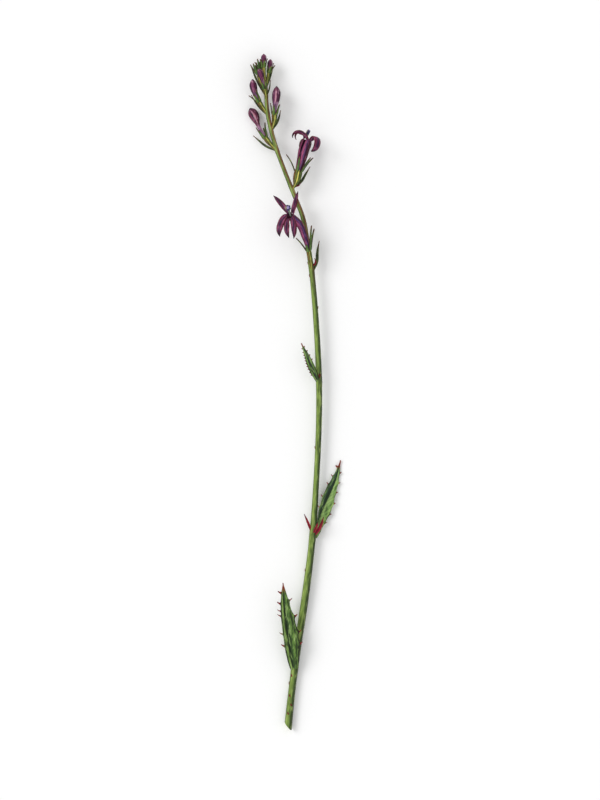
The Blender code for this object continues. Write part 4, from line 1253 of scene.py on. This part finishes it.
def makeHair(number, length, radius):
    turn = antherForm["hairTurn"] * number
    reach = antherForm["hairSpread"] * radius * math.sqrt((number + 0.5) / antherForm["hairs"])
    bpy.ops.mesh.primitive_cone_add(vertices=5, radius1=antherForm["hairRadius"] * mm, radius2=0,
                                    depth=antherForm["hairLength"] * mm, end_fill_type="NOTHING")
    hair = bpy.context.object
    lean = Euler((0, math.pi / 2 - antherForm["hairLean"] * reach / radius, 0)).to_matrix().to_4x4()
    foot = Vector((length + antherForm["hairFoot"] * mm, 0, 0))
    around = Matrix.Rotation(turn, 4, "X") @ Matrix.Translation((0, 0, reach))
    hair.data.transform(Matrix.Translation(foot) @ around @ lean)
    for title, value in (("along", antherForm["hairShare"]), ("tip", 0.0)):
        layer = hair.data.attributes.new(title, "FLOAT", "POINT")
        layer.data.foreach_set("value", [value] * len(hair.data.vertices))
    hair.data.attributes.new("flow", "FLOAT_VECTOR", "POINT")
    give(hair, "anther")
    return hair


def makeStamens(name, route):
    places = inMetres([row[:3] for row in route])
    line, length = guideLine(places)
    reached = [0.0]
    for k in range(1, len(places)):
        reached.append(reached[-1] + (places[k] - places[k - 1]).length)
    outline = [(run / reached[-1], row[3]) for run, row in zip(reached, route)]
    sides = antherForm["sides"]
    rows = []
    for t in sharesOf(antherForm["rows"]):
        share = min(1, max(0, (t - antherForm["grooveStart"]) / antherForm["grooveRamp"]))
        row = ring(t * length, readOff(outline, t) * mm, sides, antherForm["firstGroove"],
                   antherForm["anthers"], antherForm["grooveDepth"] * share)
        rows.append((t, row, row))
    last = route[-1][3] * mm
    for share, sunk, along in antherForm["cup"]:
        row = ring(length - sunk * mm, share * last, sides)
        rows.append((along, row, row))
    stamens = growPiece(name + "_stamens_form", rows, closed=True)
    closeEnds()
    give(stamens, "anther")
    hairs = [makeHair(k, length, last) for k in range(antherForm["hairs"])]
    smooth(stamens)
    stamens = joinPieces([stamens, *hairs], name + "_stamens_form")
    bendAlong(stamens, line)
    settle(stamens, name + "_stamens")


# Small scales on the stem: how far along it, the angle round it, and the slant
scaleForm = {
    "places": [(-99.8, 118, 20), (-102.6, 172, 10), (-106.8, 106, 25), (-109.9, 70, 25), (-113.0, 106, 20),
               (44.6, 176, 8), (40.2, 178, 8), (29.0, 4, -8), (-20.0, 178, 6), (-63.0, 176, 8)],
    "length": 1.1, "width": 0.24, "rise": 0.16, "rows": 8, "columns": 4, "tip": 0.02, "thickness": 0.14,
    "foot": 0.2, "swell": 0.78, "arch": 0.75, "fold": 0.5, "sunk": 0.05,
}


def makeScale(number, at, side, slant):
    rows = []
    for t in sharesOf(scaleForm["rows"]):
        swell = math.sin(math.pi * (scaleForm["foot"] + scaleForm["swell"] * t))
        half = max(scaleForm["width"] * swell, scaleForm["tip"]) * mm
        height = scaleForm["rise"] * math.sin(math.pi * t * scaleForm["arch"]) * mm
        row = [Vector((t * scaleForm["length"] * mm, half * u, height * (1 - scaleForm["fold"] * abs(u))))
               for u in placesAcross(scaleForm["columns"])]
        rows.append((t, row, row))
    scale = growPiece(f"scale_{number}", rows, closed=False)
    faceUp(scale)
    give(scale, "red", "red")
    thicken(scale, scaleForm["thickness"])
    smooth(scale)
    place = onStem({"at": at, "side": side}, scaleForm["sunk"])
    up = (place - stemRow(at)[0]).normalized()
    run = Matrix.Rotation(math.radians(slant), 3, up) @ stemHeading(at)
    left = up.cross(run).normalized()
    turned = Matrix((left.cross(up), left, up)).transposed().to_4x4()
    scale.data.transform(Matrix.Translation(place) @ turned)
    return scale


makeStem([form["at"] for forms in (leafForms, bractForms) for form in forms.values()])
print("stem made")
scales = [makeScale(number, *place) for number, place in enumerate(scaleForm["places"])]
settle(joinPieces(scales, "stem_scales_form"), None)
for leafNode, leafForm in leafForms.items():
    makeLeaf(leafNode, leafForm)
print("leaves made")
for bractNode, bractForm in bractForms.items():
    makeBract(bractNode, bractForm)
print("bracts made")
for calyxName, calyxForm in calyxForms.items():
    makeCalyx(calyxName, calyxForm)
print("calyces made")
for budName, budForm in budForms.items():
    budPlaces = [insideRim(calyxForms[budName], foldedForm["sunk"]), *inMetres(budForm["route"])]
    budFinish = budForm.get("finish", "closedBud")
    makeClosedPetals(budName + "_petals", budFinish, budPlaces, budForm)
axilBud = {"at": 4.8, "side": 80, "route": [(8.6, 5.9, 5.1), (8.65, 6.6, 5.15)], "radius": 0.36, "sunk": 0.1}
makeClosedPetals("upper_axil_bud", "axilBud", routeOf(axilBud, axilBud["sunk"]), axilBud)
print("buds made")
for flowerName in corollaForms:
    makeCorolla(flowerName, corollaForms[flowerName])
    makeStamens(flowerName, stamenForms[flowerName])
print("flowers made")


# Floor, light and camera
stageForm = {
    "floorSize": 3.0, "floorGrain": 900, "roughness": 0.9, "relief": (0.05, 0.05),
    "floorShades": [(0.95, 0.95, 0.95, 1), (0.97, 0.97, 0.97, 1)],
    "sky": 0.78, "keyPower": 1.3, "keySpread": 30, "keyTilt": (0, -48, -28),
    "cameraPlace": (1.75, -2.8), "lens": 400, "sensor": 36, "frameHeight": 280, "frameAt": 3,
}


def makeFloor():
    bpy.ops.mesh.primitive_grid_add(x_subdivisions=4, y_subdivisions=4, size=stageForm["floorSize"])
    floor = bpy.context.object
    floor.name = "floor"
    paper, tree = startFinish("floorPaper", stageForm)[:2]
    place = put(tree, "TexCoord", {}).outputs["Object"]
    grain = put(tree, "TexNoise", {"Vector": place, "Scale": stageForm["floorGrain"], "Detail": 2}).outputs[0]
    darker, paler = stageForm["floorShades"]
    shade = put(tree, "Mix", {0: grain, 6: darker, 7: paler}, data_type="RGBA").outputs[2]
    floor.data.materials.append(endFinish(paper, stageForm, shade, grain))


def makeLight():
    world = bpy.data.worlds.new("softRoom")
    world.use_nodes = True
    sky = world.node_tree.nodes["Background"].inputs
    sky["Color"].default_value = (1, 1, 1, 1)
    sky["Strength"].default_value = stageForm["sky"]
    bpy.context.scene.world = world
    bpy.ops.object.light_add(type="SUN", rotation=[math.radians(turn) for turn in stageForm["keyTilt"]])
    key = bpy.context.object
    key.name = "keyLight"
    key.data.energy = stageForm["keyPower"]
    key.data.angle = math.radians(stageForm["keySpread"])
    bpy.context.scene.view_settings.view_transform = "Standard"


def makeCamera():
    # straight down, as far above the stem as shows the frame's height
    x, y = stageForm["cameraPlace"]
    distance = stageForm["frameHeight"] * stageForm["lens"] / stageForm["sensor"] + stageForm["frameAt"]
    bpy.ops.object.camera_add(location=(x * mm, y * mm, distance * mm), rotation=(0, 0, 0))
    camera = bpy.context.object
    camera.data.lens = stageForm["lens"]
    camera.data.sensor_width = stageForm["sensor"]
    camera.data.sensor_fit = "AUTO"
    camera.data.clip_start = 0.05
    camera.data.clip_end = 20
    bpy.context.scene.camera = camera


makeFloor()
makeLight()
makeCamera()
print("stage made")
